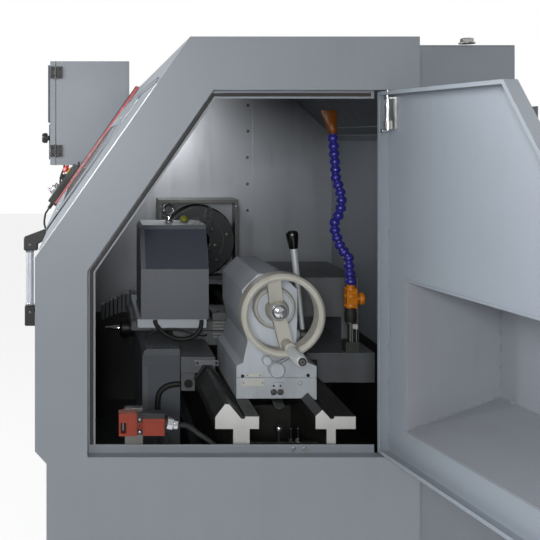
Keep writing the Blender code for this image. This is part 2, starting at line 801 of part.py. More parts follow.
def build_chuck(body_material, jaw_material):
    """Three-jaw chuck: body with radial slots, and stepped jaws on tongues in them."""
    face = CHUCK_FACE_X
    chamfer = 0.005
    length = CHUCK_LENGTH
    profile = [(CHUCK_BORE, 0), (CHUCK_RADIUS - chamfer, 0), (CHUCK_RADIUS, chamfer)]
    profile += [
        (CHUCK_RADIUS, length - chamfer), (CHUCK_RADIUS - chamfer, length),
        (CHUCK_BORE, length),
    ]
    body = turned(profile, (face - length, 0, AXIS_Z), (1, 0, 0), 48, closed=True)
    half = JAW_TONGUE / 2 + GAP
    slots = []
    for angle in JAW_ANGLES:
        low = (face - JAW_SLOT_DEPTH, CHUCK_BORE - 0.010, -half)
        slots.append(about_spindle(box(low, (face + 0.010, CHUCK_RADIUS + 0.010, half)), angle))
    cut(body, *slots)
    finish(body, "chuck_body", body_material, (face, 0, AXIS_Z))
    seat = face + GAP
    for number, angle in enumerate(JAW_ANGLES, 1):
        tongue_low = (face - JAW_SLOT_DEPTH + GAP, JAW_IN, -JAW_TONGUE / 2)
        tongue = box(tongue_low, (face + 0.006, JAW_OUT, JAW_TONGUE / 2))
        step = (JAW_OUT - JAW_IN) / 3
        outline = [(seat, JAW_IN), (face + JAW_HEIGHT, JAW_IN), (face + JAW_HEIGHT, JAW_IN + step)]
        outline += [
            (face + 0.66 * JAW_HEIGHT, JAW_IN + step),
            (face + 0.66 * JAW_HEIGHT, JAW_IN + 2 * step),
        ]
        outline += [
            (face + 0.36 * JAW_HEIGHT, JAW_IN + 2 * step),
            (face + 0.36 * JAW_HEIGHT, JAW_OUT), (seat, JAW_OUT),
        ]
        steps = prism(outline, "Z", -JAW_WIDTH / 2, JAW_WIDTH / 2)
        for at in (1.5, 2.5):
            start = (face + 0.2 * JAW_HEIGHT, JAW_IN + at * step, 0)
            steps = cut(steps, rod(start, (face + 0.060, JAW_IN + at * step, 0), 0.006, 12))
        jaw = about_spindle(join(steps, tongue), angle)
        finish(jaw, f"chuck_jaw_{number}", jaw_material, (face, 0, AXIS_Z))


def way_rise(points, y):
    """The height of a way's surface above the way height at y."""
    for (low_y, low), (high_y, high) in zip(points, points[1:]):
        if low_y <= y <= high_y:
            return low + (high - low) * (y - low_y) / (high_y - low_y)
    return points[-1][1]


def build_carriage(casting, dark, sheet_metal):
    """Saddle on the outer ways, apron with the screw's bore, and the rear housing."""
    wing_low = WAY_Z + WING_BOTTOM
    slope = (FRONT_V[1][1] - FRONT_V[0][1]) / (FRONT_V[1][0] - FRONT_V[0][0])
    foot = FRONT_V[0][0] + (WING_BOTTOM - RUNNING - FRONT_V[0][1]) / slope
    front = [(FRONT_WING[0], wing_low), (foot, wing_low)]
    front += [
        (FRONT_V[1][0], WAY_Z + FRONT_V[1][1] + RUNNING),
        (FRONT_V[2][0], WAY_Z + FRONT_V[2][1] + RUNNING),
    ]
    front += [(FRONT_WING[1], WAY_Z + way_rise(FRONT_V, FRONT_WING[1]) + RUNNING)]
    front += [(FRONT_WING[1], WAY_Z + WING_TOP), (FRONT_WING[0], WAY_Z + WING_TOP)]
    saddle = prism(front, "X", WING_LEFT_X, WING_RIGHT_X)
    rear = prism(
        [
            (REAR_WING[0], WAY_Z + RUNNING),
            (OUTER_FLAT[1] + GAP, WAY_Z + RUNNING),
            (OUTER_FLAT[1] + GAP, WAY_Z - RAIL_DEPTH / 2),
            (REAR_WING[1], WAY_Z - RAIL_DEPTH / 2),
            (REAR_WING[1], WAY_Z + REAR_WING_TOP),
            (REAR_WING[0], WAY_Z + REAR_WING_TOP),
        ],
        "X",
        WING_LEFT_X,
        WING_RIGHT_X,
    )
    low = (BRIDGE_LEFT_X, FRONT_WING[0], WAY_Z + BRIDGE_BOTTOM)
    bridge = box(low, (BRIDGE_RIGHT_X, REAR_WING[0] + 0.020, WAY_Z + SADDLE_TOP))
    finish(join(saddle, rear, bridge), "saddle", casting)

    front_y, bottom, top = APRON
    rear_y = FRONT_WING[0] - GAP
    outline = [(front_y, bottom + 0.020), (front_y + 0.020, bottom), (rear_y, bottom), (rear_y, top)]
    outline += [(front_y + 0.012, top), (front_y, top - 0.012)]
    apron = prism(outline, "X", APRON_LEFT_X, APRON_RIGHT_X)
    step_low = (APRON_LEFT_X - 0.010, front_y - 0.010, top - 0.016)
    step = box(step_low, (APRON_RIGHT_X + 0.010, front_y + 0.004, top - 0.010))
    start = (APRON_LEFT_X - 0.020, SCREW_Y, SCREW_Z)
    bore = rod(start, (APRON_RIGHT_X + 0.020, SCREW_Y, SCREW_Z), SCREW_RADIUS + GAP, 20)
    finish(cut(apron, step, bore), "apron", casting)

    near, post, far = REAR_HOUSING_Y
    under, over = REAR_HOUSING_Z
    seat = WAY_Z + REAR_WING_TOP + GAP
    outline = [(near, under), (post, under), (post, seat), (far, seat), (far, over), (near, over)]
    housing = prism(outline, "X", *REAR_HOUSING_X)
    finish(soften(housing, 0.003), "rear_housing", dark)
    build_cross_slide(casting, dark, sheet_metal)


def cover_corner(near, roof, size, left, right):
    """A wedge that cuts a 45 degree corner along the cover's front upper edge."""
    outline = [(near - 0.010, roof - size), (near + size, roof + 0.010), (near - 0.010, roof + 0.010)]
    return prism(outline, "X", left - 0.010, right + 0.010)


def build_cross_slide(casting, dark, sheet_metal):
    """Cross slide, turret base, four-way tool post and the sheet cover behind it."""
    bottom = WAY_Z + SADDLE_TOP + GAP
    top = bottom + SLIDE_THICKNESS
    slide = box((BRIDGE_LEFT_X, SLIDE_Y[0], bottom), (BRIDGE_RIGHT_X, SLIDE_Y[1], top))
    finish(soften(slide, 0.003), "cross_slide", casting)
    left, right, near, far = TURRET_BASE
    seat = top + GAP
    base_top = seat + TURRET_BASE_THICKNESS
    plate = box((left, near, seat), (right, far, base_top))
    finish(soften(plate, 0.002), "turret_base", casting)

    left, right, near, far = COVER
    foot = base_top + GAP
    shoulder = foot + COVER_SHOULDER
    roof = foot + COVER_HEIGHT
    outline = [(left, foot), (right, foot), (right, shoulder)]
    outline += [(right - COVER_TOP_SETBACK, roof), (left, roof)]
    cover = prism(outline, "Y", near, far)
    cut(cover, cover_corner(near, roof, COVER_CORNER - 0.010, left, right))
    inside = COVER_SHEET
    hollow = [
        (left + inside, foot - 0.010),
        (right - inside, foot - 0.010),
        (right - inside, shoulder - inside),
        (right - COVER_TOP_SETBACK - inside, roof - inside),
        (left + inside, roof - inside),
    ]
    hollow_piece = prism(hollow, "Y", near + inside, far - inside)
    cut(hollow_piece, cover_corner(near, roof, COVER_CORNER - 0.010 + 2 * inside, left, right))
    finish(cut(cover, hollow_piece), "turret_cover", sheet_metal)

    half = POST_SIDE / 2
    post_seat = base_top + GAP
    post_top = post_seat + POST_HEIGHT
    post = box((POST_X - half, POST_Y - half, post_seat), (POST_X + half, POST_Y + half, post_top))
    low = post_seat + POST_SLOT_RISE
    high = low + POST_SLOT
    near_x, far_x = POST_X - half - 0.010, POST_X + half + 0.010
    near_y, far_y = POST_Y - half - 0.010, POST_Y + half + 0.010
    floor = half - POST_SLOT_DEPTH
    grooves = [
        box((near_x, near_y, low), (far_x, POST_Y - floor, high)),
        box((near_x, POST_Y + floor, low), (far_x, far_y, high)),
        box((near_x, near_y, low), (POST_X - floor, far_y, high)),
        box((POST_X + floor, near_y, low), (far_x, far_y, high)),
    ]
    cut(post, *grooves)
    cap_profile = [(0, -0.010), (0.040, -0.010), (0.040, 0.010), (0.034, 0.016), (0, 0.016)]
    cap = turned(cap_profile, (POST_X, POST_Y, post_top), (0, 0, 1), 24)
    finish(join(post, cap), "tool_post", dark, (POST_X, POST_Y, post_seat))


def build_coolant(metal, valve_material, hose_material):
    """Coolant pipe, valve with its knob, the segmented hose and the duckbill nozzle."""
    seat = WAY_Z + REAR_WING_TOP + GAP
    x, y = COOLANT_X, COOLANT_Y
    pipe = rod((x, y, seat), (x, y, VALVE_BOTTOM - GAP), PIPE_RADIUS, 16)
    half = 0.019
    block = box((x - half, y - half, seat), (x + half, y + half, seat + 0.030))
    union = tube(
        (x, y, VALVE_BOTTOM - 0.045), (x, y, VALVE_BOTTOM - 0.012), 0.014,
        PIPE_RADIUS - 0.002, 6,
    )
    finish(join(pipe, block, union), "coolant_pipe", metal)

    side = VALVE_SIDE / 2
    body = box((x - side, y - side, VALVE_BOTTOM), (x + side, y + side, VALVE_TOP - 0.010))
    neck = rod((x, y, VALVE_TOP - 0.020), (x, y, VALVE_TOP), BALL_NECK + 0.002, 16)
    ball = rod((x, y, VALVE_TOP - 0.035), (x, y, VALVE_TOP - 0.035 + 0.010), side + 0.004, 16)
    join(body, neck, ball)
    finish(body, "coolant_valve", valve_material)
    knob_z = VALVE_TOP - 0.040
    start = (x, y + side + 0.004 + GAP, knob_z)
    profile = [
        (0, 0), (0.006, 0), (0.006, 0.004), (0.016, 0.004), (0.018, 0.008), (0.018, 0.016),
        (0.015, 0.019), (0, 0.019),
    ]
    finish(turned(profile, start, (0, 1, 0), 16), "valve_knob", valve_material, start)

    route = [
        (
            x, y, VALVE_TOP + 2 * GAP,
        ), (x, y, VALVE_TOP + 0.012), (x, 0.2775, 1.186), (x, 0.2735, 1.222), (x, 0.2560, 1.242),
        (x, 0.2460, 1.266), (x, 0.2370, 1.292), (x, 0.2352, 1.318), (x, 0.2462, 1.341),
        (x, 0.2540, 1.370), (x, 0.2535, 1.395), (x, 0.2465, 1.423), (x, 0.2385, 1.449),
        (x, 0.2374, 1.472), (x, 0.2360, 1.493), (x, 0.2336, 1.516), (x, 0.2320, 1.538),
        (x, 0.2300, 1.558), (x, 0.2298, 1.575),
    ]
    rings_per_ball = 4
    path = smooth_path(route, BALL_COUNT * rings_per_ball + 1)
    swell = [BALL_NECK, 0.9 * BALL_RADIUS, BALL_RADIUS, 0.9 * BALL_RADIUS]
    radii = [swell[index % rings_per_ball] for index in range(len(path))]
    finish(swept(path, radii, 10), "coolant_hose", hose_material)

    top = path[-1] + Vector((0, 0, GAP))
    tip_y = top.y - 0.012
    shapes = [
        (0.0, 0.011, 0.011), (0.010, 0.015, 0.015), (0.024, 0.015, 0.013),
        (0.044, 0.020, 0.007), (0.068, 0.024, 0.0035),
    ]
    rings = []
    for rise, along, across in shapes:
        middle = top.y + (tip_y - top.y) * rise / shapes[-1][0]
        ring = []
        for step in range(16):
            angle = 2 * math.pi * step / 16
            ring.append((x + across * math.cos(angle), middle + along * math.sin(angle), top.z + rise))
        rings.append(ring)
    finish(lofted(rings), "hose_nozzle", valve_material)


def build_tailstock(casting, steel, knob_material):
    """Tailstock base and body on the inner ways, with quill, handwheel, crank and lock lever."""
    front_y, rear_y = TAIL_Y
    left = TAIL_REAR_X - TAIL_LENGTH
    split = WAY_Z + TAIL_BASE_TOP
    under = [(front_y, WAY_Z + RUNNING)]
    under += [(y, WAY_Z + rise + RUNNING) for y, rise in REAR_V]
    under += [(rear_y, WAY_Z + REAR_V[2][1] + RUNNING)]
    base = prism(under + [(rear_y, split), (front_y, split)], "X", left, TAIL_REAR_X)
    finish(base, "tailstock_base", casting)

    foot = split + GAP
    shelf = WAY_Z + TAIL_BLOCK_TOP
    half = BARREL_HALF
    top = AXIS_Z + BARREL_TOP
    corner = 0.042
    outline = [(front_y, foot), (rear_y, foot), (rear_y, shelf), (rear_y - 0.022, shelf + 0.009)]
    outline += [(half - 0.002, AXIS_Z - 0.100), (half, AXIS_Z - 0.045), (half, top - corner)]
    outline += [
        (half - corner, top), (corner - half, top), (-half, top - corner),
        (-half, AXIS_Z - 0.045),
    ]
    outline += [(-0.058, AXIS_Z - 0.100), (-0.070, shelf + 0.009), (front_y, shelf)]
    body = prism(outline, "X", left, TAIL_REAR_X)
    boss_end = TAIL_REAR_X + BOSS_LENGTH
    boss = rod((TAIL_REAR_X - 0.010, 0, AXIS_Z), (boss_end, 0, AXIS_Z), BOSS_RADIUS, 32)
    lever_seat = LEVER_Y - 0.012
    lever_boss = rod((LEVER_X, half - 0.010, LEVER_Z), (LEVER_X, lever_seat, LEVER_Z), 0.015)
    join(body, boss, lever_boss)
    bore_end = left - QUILL_OUT + QUILL_LENGTH + 0.010
    shaft = 0.010
    bore = rod((left - 0.020, 0, AXIS_Z), (bore_end, 0, AXIS_Z), QUILL_RADIUS + GAP, 32)
    shaft_hole = rod((bore_end - 0.010, 0, AXIS_Z), (boss_end + 0.010, 0, AXIS_Z), shaft + GAP, 32)
    finish(cut(body, bore, shaft_hole), "tailstock_body", casting)

    start = left - QUILL_OUT
    taper = [(0, 0.070), (0.009, 0.070), (0.012, 0), (QUILL_RADIUS - 0.002, 0), (QUILL_RADIUS, 0.002)]
    taper += [(QUILL_RADIUS, QUILL_LENGTH), (0, QUILL_LENGTH)]
    finish(turned(taper, (start, 0, AXIS_Z), (1, 0, 0), 32), "quill", steel, (start, 0, AXIS_Z))
    build_handwheel(casting, steel, boss_end + GAP, shaft)

    hub = rod((LEVER_X, lever_seat + GAP, LEVER_Z), (LEVER_X, LEVER_Y + 0.012, LEVER_Z), LEVER_HUB, 24)
    direction = Vector((0, -LEVER_LEAN, LEVER_RISE)).normalized()
    foot_point = Vector((LEVER_X, LEVER_Y, LEVER_Z))
    knob_start = foot_point + direction * (LEVER_RISE + 0.002)
    lever = rod(foot_point + direction * 0.005, knob_start + direction * 0.010, LEVER_ROD)
    profile = [
        (0, 0), (0.008, 0), (0.0125, 0.004), (0.0155, 0.034), (0.014, 0.045),
        (0.008, KNOB_LENGTH), (0, KNOB_LENGTH),
    ]
    knob = turned(profile, knob_start, direction, 20)
    finish(join(hub, lever, knob), "lock_lever", knob_material, (LEVER_X, LEVER_Y, LEVER_Z))


def build_handwheel(casting, steel, start, shaft):
    """Handwheel with a deep rim, two broad spokes, and a loose crank handle on its pin."""
    rim_rear = WHEEL_FRONT_X - WHEEL_RIM_DEPTH - start
    rim_front = WHEEL_FRONT_X - start
    edge = 0.006
    profile = [
        (WHEEL_INNER, rim_rear + edge),
        (WHEEL_INNER + edge, rim_rear),
        (WHEEL_RADIUS - edge, rim_rear),
        (WHEEL_RADIUS, rim_rear + edge),
        (WHEEL_RADIUS, rim_front - edge),
        (WHEEL_RADIUS - edge, rim_front),
        (WHEEL_INNER + edge, rim_front),
        (WHEEL_INNER, rim_front - edge),
    ]
    centre = (start, 0, AXIS_Z)
    wheel = turned(profile, centre, (1, 0, 0), 48, closed=True)
    hub = turned(
        [
            (0, -0.100), (shaft, -0.100), (shaft, 0), (WHEEL_HUB - 0.004, 0), (
                WHEEL_HUB, WHEEL_HUB_LENGTH / 2,
            ),
            (0.022, WHEEL_HUB_LENGTH), (0, WHEEL_HUB_LENGTH),
        ],
        centre, (1, 0, 0), 32,
    )
    others = [hub]
    thick = 0.014
    hub_x = start + WHEEL_HUB_LENGTH / 2 - thick / 2
    rim_x = start + rim_rear + 0.006
    for angle in (CRANK_ANGLE, CRANK_ANGLE + 180):
        outline = [
            (hub_x, 0.012), (hub_x + thick, 0.012), (rim_x + thick, WHEEL_INNER + 0.006),
            (rim_x, WHEEL_INNER + 0.006),
        ]
        spoke = prism(outline, "Z", -SPOKE_WIDTH / 2, SPOKE_WIDTH / 2)
        others.append(about_spindle(spoke, angle))
    boss_front = WHEEL_FRONT_X + 0.004
    boss = rod(
        (rim_x + 0.005, CRANK_RADIUS - 0.0035, 0), (boss_front, CRANK_RADIUS - 0.0035, 0),
        0.0134, 18,
    )
    grip_start = boss_front + GAP
    grip_end = grip_start + CRANK_LENGTH
    pin = rod((boss_front - 0.010, CRANK_RADIUS, 0), (grip_end - 0.006, CRANK_RADIUS, 0), CRANK_PIN, 16)
    others += [about_spindle(boss, CRANK_ANGLE), about_spindle(pin, CRANK_ANGLE)]
    finish(join(wheel, *others), "handwheel", casting, centre)

    bore = CRANK_PIN + GAP
    grip = CRANK_GRIP
    profile = [
        (bore, 0), (grip - 0.004, 0), (grip - 0.002, 0.006), (grip, 0.030),
        (grip, CRANK_LENGTH - 0.020),
    ]
    profile += [
        (grip - 0.002, CRANK_LENGTH - 0.004), (grip - 0.004, CRANK_LENGTH),
        (bore, CRANK_LENGTH),
    ]
    crank = turned(profile, (grip_start, CRANK_RADIUS, 0), (1, 0, 0), 24, closed=True)
    angle = math.radians(CRANK_ANGLE)
    pivot = (grip_start, CRANK_RADIUS * math.cos(angle), AXIS_Z + CRANK_RADIUS * math.sin(angle))
    finish(about_spindle(crank, CRANK_ANGLE), "crank_handle", steel, pivot)


def build_end_door(painted, pocket_material, steel):
    """End door drawn closed on an empty that is then turned: pan, pocket, pin and spring."""
    hinge = axis_empty("end_door_axis", (HINGE_X, HINGE_Y, 0), DOOR_ANGLE)
    outline = offset_loop(end_opening(HINGE_EDGE_Y + DOOR_CLEARANCE), DOOR_CLEARANCE)
    back = SKIN_X - PAN_DEPTH
    pan = prism(outline, "X", back, SKIN_X)
    hollow = prism(offset_loop(outline, SHEET), "X", back + SHEET, SKIN_X - SHEET)
    mouth = prism(offset_loop(outline, PAN_LIP), "X", back - 0.010, back + 2 * SHEET)
    near = HINGE_EDGE_Y - POCKET_END
    far = HINGE_EDGE_Y - POCKET_START
    inside = SKIN_X - SHEET
    hole = box(
        (inside - 0.005, near - GAP, POCKET_BOTTOM - GAP),
        (SKIN_X + 0.005, far + GAP, POCKET_TOP + GAP),
    )
    pin_hole = rod(
        (HINGE_X, HINGE_Y, END_TOP_Z - 0.020), (HINGE_X, HINGE_Y, END_TOP_Z + 0.005),
        PIN_RADIUS + GAP,
    )
    finish(
        cut(pan, hollow, mouth, hole, pin_hole), "end_door", painted, parent=hinge,
        pivot=(HINGE_X, HINGE_Y, 0),
    )

    end = SKIN_X + POCKET_DEPTH
    shell = [
        (inside, POCKET_BOTTOM), (end, POCKET_BOTTOM + POCKET_RISE), (end, POCKET_TOP),
        (inside, POCKET_TOP),
    ]
    pocket = prism(shell, "Y", near, far)
    wall = POCKET_SHEET
    drop = POCKET_RISE * 0.010 / POCKET_DEPTH
    space = [
        (inside - 0.010, POCKET_BOTTOM + wall - drop),
        (end - wall, POCKET_BOTTOM + POCKET_RISE + wall - POCKET_RISE * wall / POCKET_DEPTH),
        (end - wall, POCKET_TOP - wall),
        (inside - 0.010, POCKET_TOP - wall),
    ]
    cut(pocket, prism(space, "Y", near + wall, far - wall))
    finish(pocket, "end_door_pocket", pocket_material, parent=hinge, pivot=(HINGE_X, HINGE_Y, 0))
    build_hinge_pin(hinge, steel)


def build_hinge_pin(hinge, steel):
    """Spring pin of the end door: bracket with a sleeve, L pin with a collar, and the coil."""
    x, y = HINGE_X, HINGE_Y
    plate_face = SKIN_X - SHEET - GAP
    low, high = PIN_BRACKET_Z
    plate = box((plate_face - 0.003, y - 0.023, low), (plate_face, y + 0.004, high))
    sleeve_top = low + SLEEVE_LENGTH
    sleeve = rod((x, y, low), (x, y, sleeve_top), SPRING_RADIUS + 0.001, 20)
    web = box((x, y - 0.003, low), (plate_face - 0.002, y + 0.003, sleeve_top))
    tab = box((x - 0.007, y - 0.006, high - 0.004), (plate_face - 0.002, y + 0.003, high))
    join(plate, sleeve, web, tab)
    hole = rod((x, y, low - 0.010), (x, y, high + 0.010), PIN_RADIUS + GAP)
    pivot = (x, y, 0)
    finish(cut(plate, hole), "pin_bracket", steel, parent=hinge, pivot=pivot)

    spring_low = sleeve_top + GAP
    spring_high = spring_low + SPRING_LENGTH
    points = []
    per_turn = 12
    mean = SPRING_RADIUS - SPRING_WIRE
    for step in range(SPRING_TURNS * per_turn + 1):
        angle = 2 * math.pi * step / per_turn
        rise = (SPRING_LENGTH - 2 * SPRING_WIRE) * step / (SPRING_TURNS * per_turn)
        turn = (x + mean * math.cos(angle), y + mean * math.sin(angle))
        points.append(Vector((*turn, spring_low + SPRING_WIRE + rise)))
    coil = swept(points, [SPRING_WIRE] * len(points), 6)
    finish(coil, "hinge_spring", steel, parent=hinge, pivot=(x, y, spring_low))

    arm = low - GAP - PIN_RADIUS
    pin = rod((x, y, arm), (x, y, PIN_TOP), PIN_RADIUS)
    across = rod((x, y, arm), (x - PIN_ARM, y, arm), PIN_RADIUS)
    elbow = turned(
        [(0, -PIN_RADIUS), (0.0028, -0.0028), (PIN_RADIUS, 0), (0.0028, 0.0028), (0, PIN_RADIUS)],
        (x, y, arm), (0, 0, 1), 16,
    )
    collar = rod((x, y, spring_high + GAP), (x, y, spring_high + 0.004), SPRING_RADIUS)
    finish(join(pin, across, elbow, collar), "hinge_pin", steel, parent=hinge, pivot=(x, y, arm))


def along_front(s, w):
    """A (Y, Z) point s up the slanted front from the crease and w out of its face."""
    unit = math.hypot(1, SLANT)
    return (FRONT_Y + (SLANT * s - w) / unit, CREASE_Z + (s + SLANT * w) / unit)


def build_front_door(painted, glass, handle_material, bracket_material):
    """Sliding front door folded like the front it covers, with window, handle and brackets."""
    left, right = FRONT_DOOR_LEFT, FRONT_DOOR_RIGHT
    low, high = FRONT_DOOR_BOTTOM, FRONT_DOOR_TOP
    outer = DOOR_STAND_OFF + SHEET
    path = [(FRONT_Y, low), (FRONT_Y, CREASE_Z), (slant_y(high), high)]
    door = folded_sheet(path, SHEET, "X", left, right, outward=outer)
    bottom = box((left, FRONT_Y - outer + SHEET / 2, low), (right, FRONT_Y - GAP, low + SHEET))
    length = (high - CREASE_Z) * math.hypot(1, SLANT)
    edge = [
        (length - SHEET, GAP), (length, GAP), (length, outer - SHEET / 2),
        (length - SHEET, outer - SHEET / 2),
    ]
    top = prism([along_front(s, w) for s, w in edge], "X", left, right)
    join(door, bottom, top)
    window_x = (left + WINDOW_MARGIN_X, right - WINDOW_MARGIN_X)
    sides = [(WINDOW_LOW, -0.010), (WINDOW_HIGH, -0.010), (WINDOW_HIGH, 0.020), (WINDOW_LOW, 0.020)]
    hole = prism([along_front(s, w) for s, w in sides], "X", *window_x)
    finish(cut(door, hole), "front_door", painted)
    pane = [(WINDOW_LOW + GAP, DOOR_STAND_OFF), (WINDOW_HIGH - GAP, DOOR_STAND_OFF)]
    pane += [(WINDOW_HIGH - GAP, outer - 0.0005), (WINDOW_LOW + GAP, outer - 0.0005)]
    window = prism([along_front(s, w) for s, w in pane], "X", window_x[0] + GAP, window_x[1] - GAP)
    finish(window, "front_door_window", glass)

    bar_y = FRONT_Y - HANDLE_STAND_OFF
    start = (HANDLE_X, bar_y, HANDLE_BOTTOM + 0.002 + GAP)
    finish(
        rod(start, (HANDLE_X, bar_y, HANDLE_TOP - GAP), HANDLE_RADIUS, 24), "handle_bar",
        handle_material,
    )
    face = FRONT_Y - outer - GAP
    half = BRACKET_WIDTH / 2
    block = HANDLE_RADIUS + 0.007
    upper = [
        (face, CREASE_Z - 0.002), (bar_y - block, HANDLE_TOP + 0.041), (bar_y - block, HANDLE_TOP),
        (bar_y + block + 0.006, HANDLE_TOP), (
            bar_y + block + 0.006, HANDLE_TOP + 0.020,
        ), (face, HANDLE_TOP + 0.034),
    ]
    piece = prism(upper, "X", HANDLE_X - half, HANDLE_X + half)
    finish(soften(piece, 0.003), "handle_bracket_upper", bracket_material)
    foot = HANDLE_BOTTOM + 0.002
    lower = [
        (face, foot - 0.028), (bar_y + block - 0.003, foot - 0.018), (bar_y + block - 0.003, foot),
        (bar_y - block + 0.003, foot), (
            bar_y - block + 0.003, foot - 0.063,
        ), (bar_y + block - 0.003, foot - 0.063),
        (face, foot - 0.053),
    ]
    piece = prism(lower, "X", HANDLE_X - half, HANDLE_X + half)
    finish(soften(piece, 0.003), "handle_bracket_lower", bracket_material)


def build_switch(sheet_metal, red, conduit_material):
    """Interlock switch on its plate behind the lower lip, and the conduit to the bed."""
    face = LIP_X - SHEET - GAP
    low = END_BOTTOM_Z + 0.003
    plate = box((face - 0.0025, BRACKET_Y[0], low), (face, BRACKET_Y[1], BRACKET_TOP))
    fold = box(
        (face - 0.018, BRACKET_Y[0], BRACKET_TOP - 0.0025),
        (face - 0.001, BRACKET_Y[1], BRACKET_TOP),
    )
    finish(join(plate, fold), "switch_bracket", sheet_metal)

    back = face + GAP
    y0, y1, z0, z1 = SWITCH_HEAD
    head = box((back, y0, z0), (back + SWITCH_DEPTH, y1, z1))
    slot = box((back + 0.010, y0 + 0.004, z0 + 0.006), (back + 0.050, y0 + 0.017, z1 - 0.022))
    cut(head, slot)
    y2, y3, z2, z3 = SWITCH_BODY
    body = box((back, y2, z2), (back + SWITCH_DEPTH - 0.003, y3, z3))
    neck = box((back, y1 - 0.006, z0 + 0.005), (back + SWITCH_DEPTH - 0.010, y2 + 0.006, z3 - 0.005))
    middle = back + SWITCH_DEPTH / 2
    gland_z = (z2 + z3) / 2 + 0.007
    gland = rod((middle, y3 - 0.004, gland_z), (middle, y3 + 0.030, gland_z - 0.006), 0.0115, 6)
    finish(join(head, body, neck, gland), "interlock_switch", red)
    route = [
        (
            middle, y3 + 0.0335, gland_z - 0.007,
        ), (middle - 0.002, -0.240, 0.882), (middle - 0.011, -0.212, 0.860),
        (1.305, -0.182, 0.834), (1.290, -0.152, 0.800), (1.284, -0.120, 0.757), (1.276, -0.102, 0.728),
        (BED_RIGHT_X + 0.010, -0.100, 0.720), (BED_RIGHT_X + 2 * GAP, -0.100, 0.720),
    ]
    finish(cord(route, CONDUIT_RADIUS, 40, "switch_conduit"), "switch_conduit", conduit_material)


def shell_box(low, high, wall, open_face):
    """A thin box of one wall thickness, open on its -Y or +Y face."""
    outer = box(low, high)
    near = low[1] - 0.010 if open_face == "-Y" else low[1] + wall
    far = high[1] + 0.010 if open_face == "+Y" else high[1] - wall
    space = box((low[0] + wall, near, low[2] + wall), (high[0] - wall, far, high[2] - wall))
    return cut(outer, space)


def build_control_box(painted, knob_material):
    """Control cabinet on the slanted front, and its hinged door with a latch knob."""
    left, right = CONTROL_X
    low, high = CONTROL_Z
    wall = 0.002
    lean = GAP * math.hypot(1, SLANT)
    foot = (slant_y(low) - lean, low)
    rear_z = CREASE_Z + (CONTROL_BACK - FRONT_Y) / SLANT + lean / SLANT
    outline = [
        (CONTROL_FRONT, low), (CONTROL_FRONT, high), (CONTROL_BACK, high),
        (CONTROL_BACK, rear_z), foot,
    ]
    body = prism(outline, "X", left, right)
    sheet = wall * math.hypot(1, SLANT)
    space = [
        (CONTROL_FRONT - 0.010, low + wall), (
            CONTROL_FRONT - 0.010, high - wall,
        ), (CONTROL_BACK - wall, high - wall),
        (
            CONTROL_BACK - wall, rear_z + (sheet - wall) / SLANT,
        ), (foot[0] - sheet + SLANT * wall, low + wall),
    ]
    finish(cut(body, prism(space, "X", left + wall, right - wall)), "control_box", painted)
    back = CONTROL_FRONT - GAP
    door = shell_box((left, back - CONTROL_DOOR, low), (right, back, high), wall, "+Y")
    knob_x = right - 0.076
    knob_z = 1.5645
    profile = [
        (0, 0), (0.011, 0), (0.011, 0.014), (0.022, 0.018), (0.022, 0.034), (0.018, 0.041),
        (0, 0.041),
    ]
    knob = turned(profile, (knob_x, back - CONTROL_DOOR + 0.001, knob_z), (0, -1, 0), 20)
    finish(join(door, knob), "control_door", painted, (right + 0.004, back, low))


def on_slant(piece):
    """Moves a piece drawn with (X, up the slant, outward) onto the slanted front."""
    turn = Matrix.Rotation(math.atan2(1, SLANT), 4, "X")
    piece.data.transform(Matrix.Translation((0, FRONT_Y, CREASE_Z)) @ turn)
    return piece


def build_pendant(plastic, red, steel, rubber):
    """Hand pendant held on the slant: body, wheel, emergency stop, and its hanging cable."""
    left, right = PENDANT_X
    middle = (left + right) / 2
    top = GAP + PENDANT_THICKNESS
    body = box((left, PENDANT_START, GAP), (right, PENDANT_START + PENDANT_LENGTH, top))
    knob = rod((middle, KNOB_S, top - 0.002), (middle, KNOB_S, top + 0.018), 0.011)
    exit_w = GAP + PENDANT_THICKNESS / 2
    relief = rod(
        (middle, PENDANT_START + 0.002, exit_w), (middle, PENDANT_START - 0.028, exit_w),
        0.008,
    )
    join(body, knob, relief)
    stop_hole = rod((middle, STOP_S, top - 0.014), (middle, STOP_S, top + 0.010), STOP_NECK + GAP)
    finish(on_slant(cut(body, stop_hole)), "pendant_body", plastic)

    seat = top + GAP
    wheel = turned(
        [
            (0, 0), (0.024, 0), (0.0275, 0.003), (0.0275, 0.014), (0.025, 0.017),
            (0.010, 0.017), (0.010, 0.024), (0, 0.024),
        ],
        (middle, WHEEL_S, seat), (0, 0, 1), 32,
    )
    pivot = (middle, *along_front(WHEEL_S, seat))
    finish(on_slant(wheel), "pendant_wheel", steel, pivot)
    stop = turned(
        [
            (0, -0.006), (STOP_NECK, -0.006), (STOP_NECK, 0.010), (0.020, 0.012),
            (0.020, 0.018), (0.014, 0.026), (0, 0.028),
        ],
        (middle, STOP_S, top), (0, 0, 1), 24,
    )
    finish(on_slant(stop), "emergency_stop", red, (middle, *along_front(STOP_S, top)))

    exit_y, exit_z = along_front(PENDANT_START - 0.028 - GAP, exit_w)
    y = FRONT_Y - 0.012
    route = [
        (middle, exit_y, exit_z), (middle, exit_y - 0.010, exit_z - 0.016), (middle, -0.6675, 1.218),
        (middle, -0.6715, 1.170), (middle - 0.008, -0.650, 1.115), (middle - 0.025, -0.622, 1.040),
        (middle - 0.060, y, 0.950), (middle - 0.120, y, 0.895), (middle - 0.190, y, 0.910),
        (middle - 0.240, y, 1.000), (middle - 0.268, y, 1.140), (middle - 0.285, y, 1.280),
        (middle - 0.298, y + 0.004, 1.370), (middle - 0.300, -0.592, 1.415),
        (middle - 0.300, -0.590, CONTROL_Z[0] - GAP),
    ]
    finish(cord(route, CABLE_RADIUS, 72, "pendant_cable"), "pendant_cable", rubber)


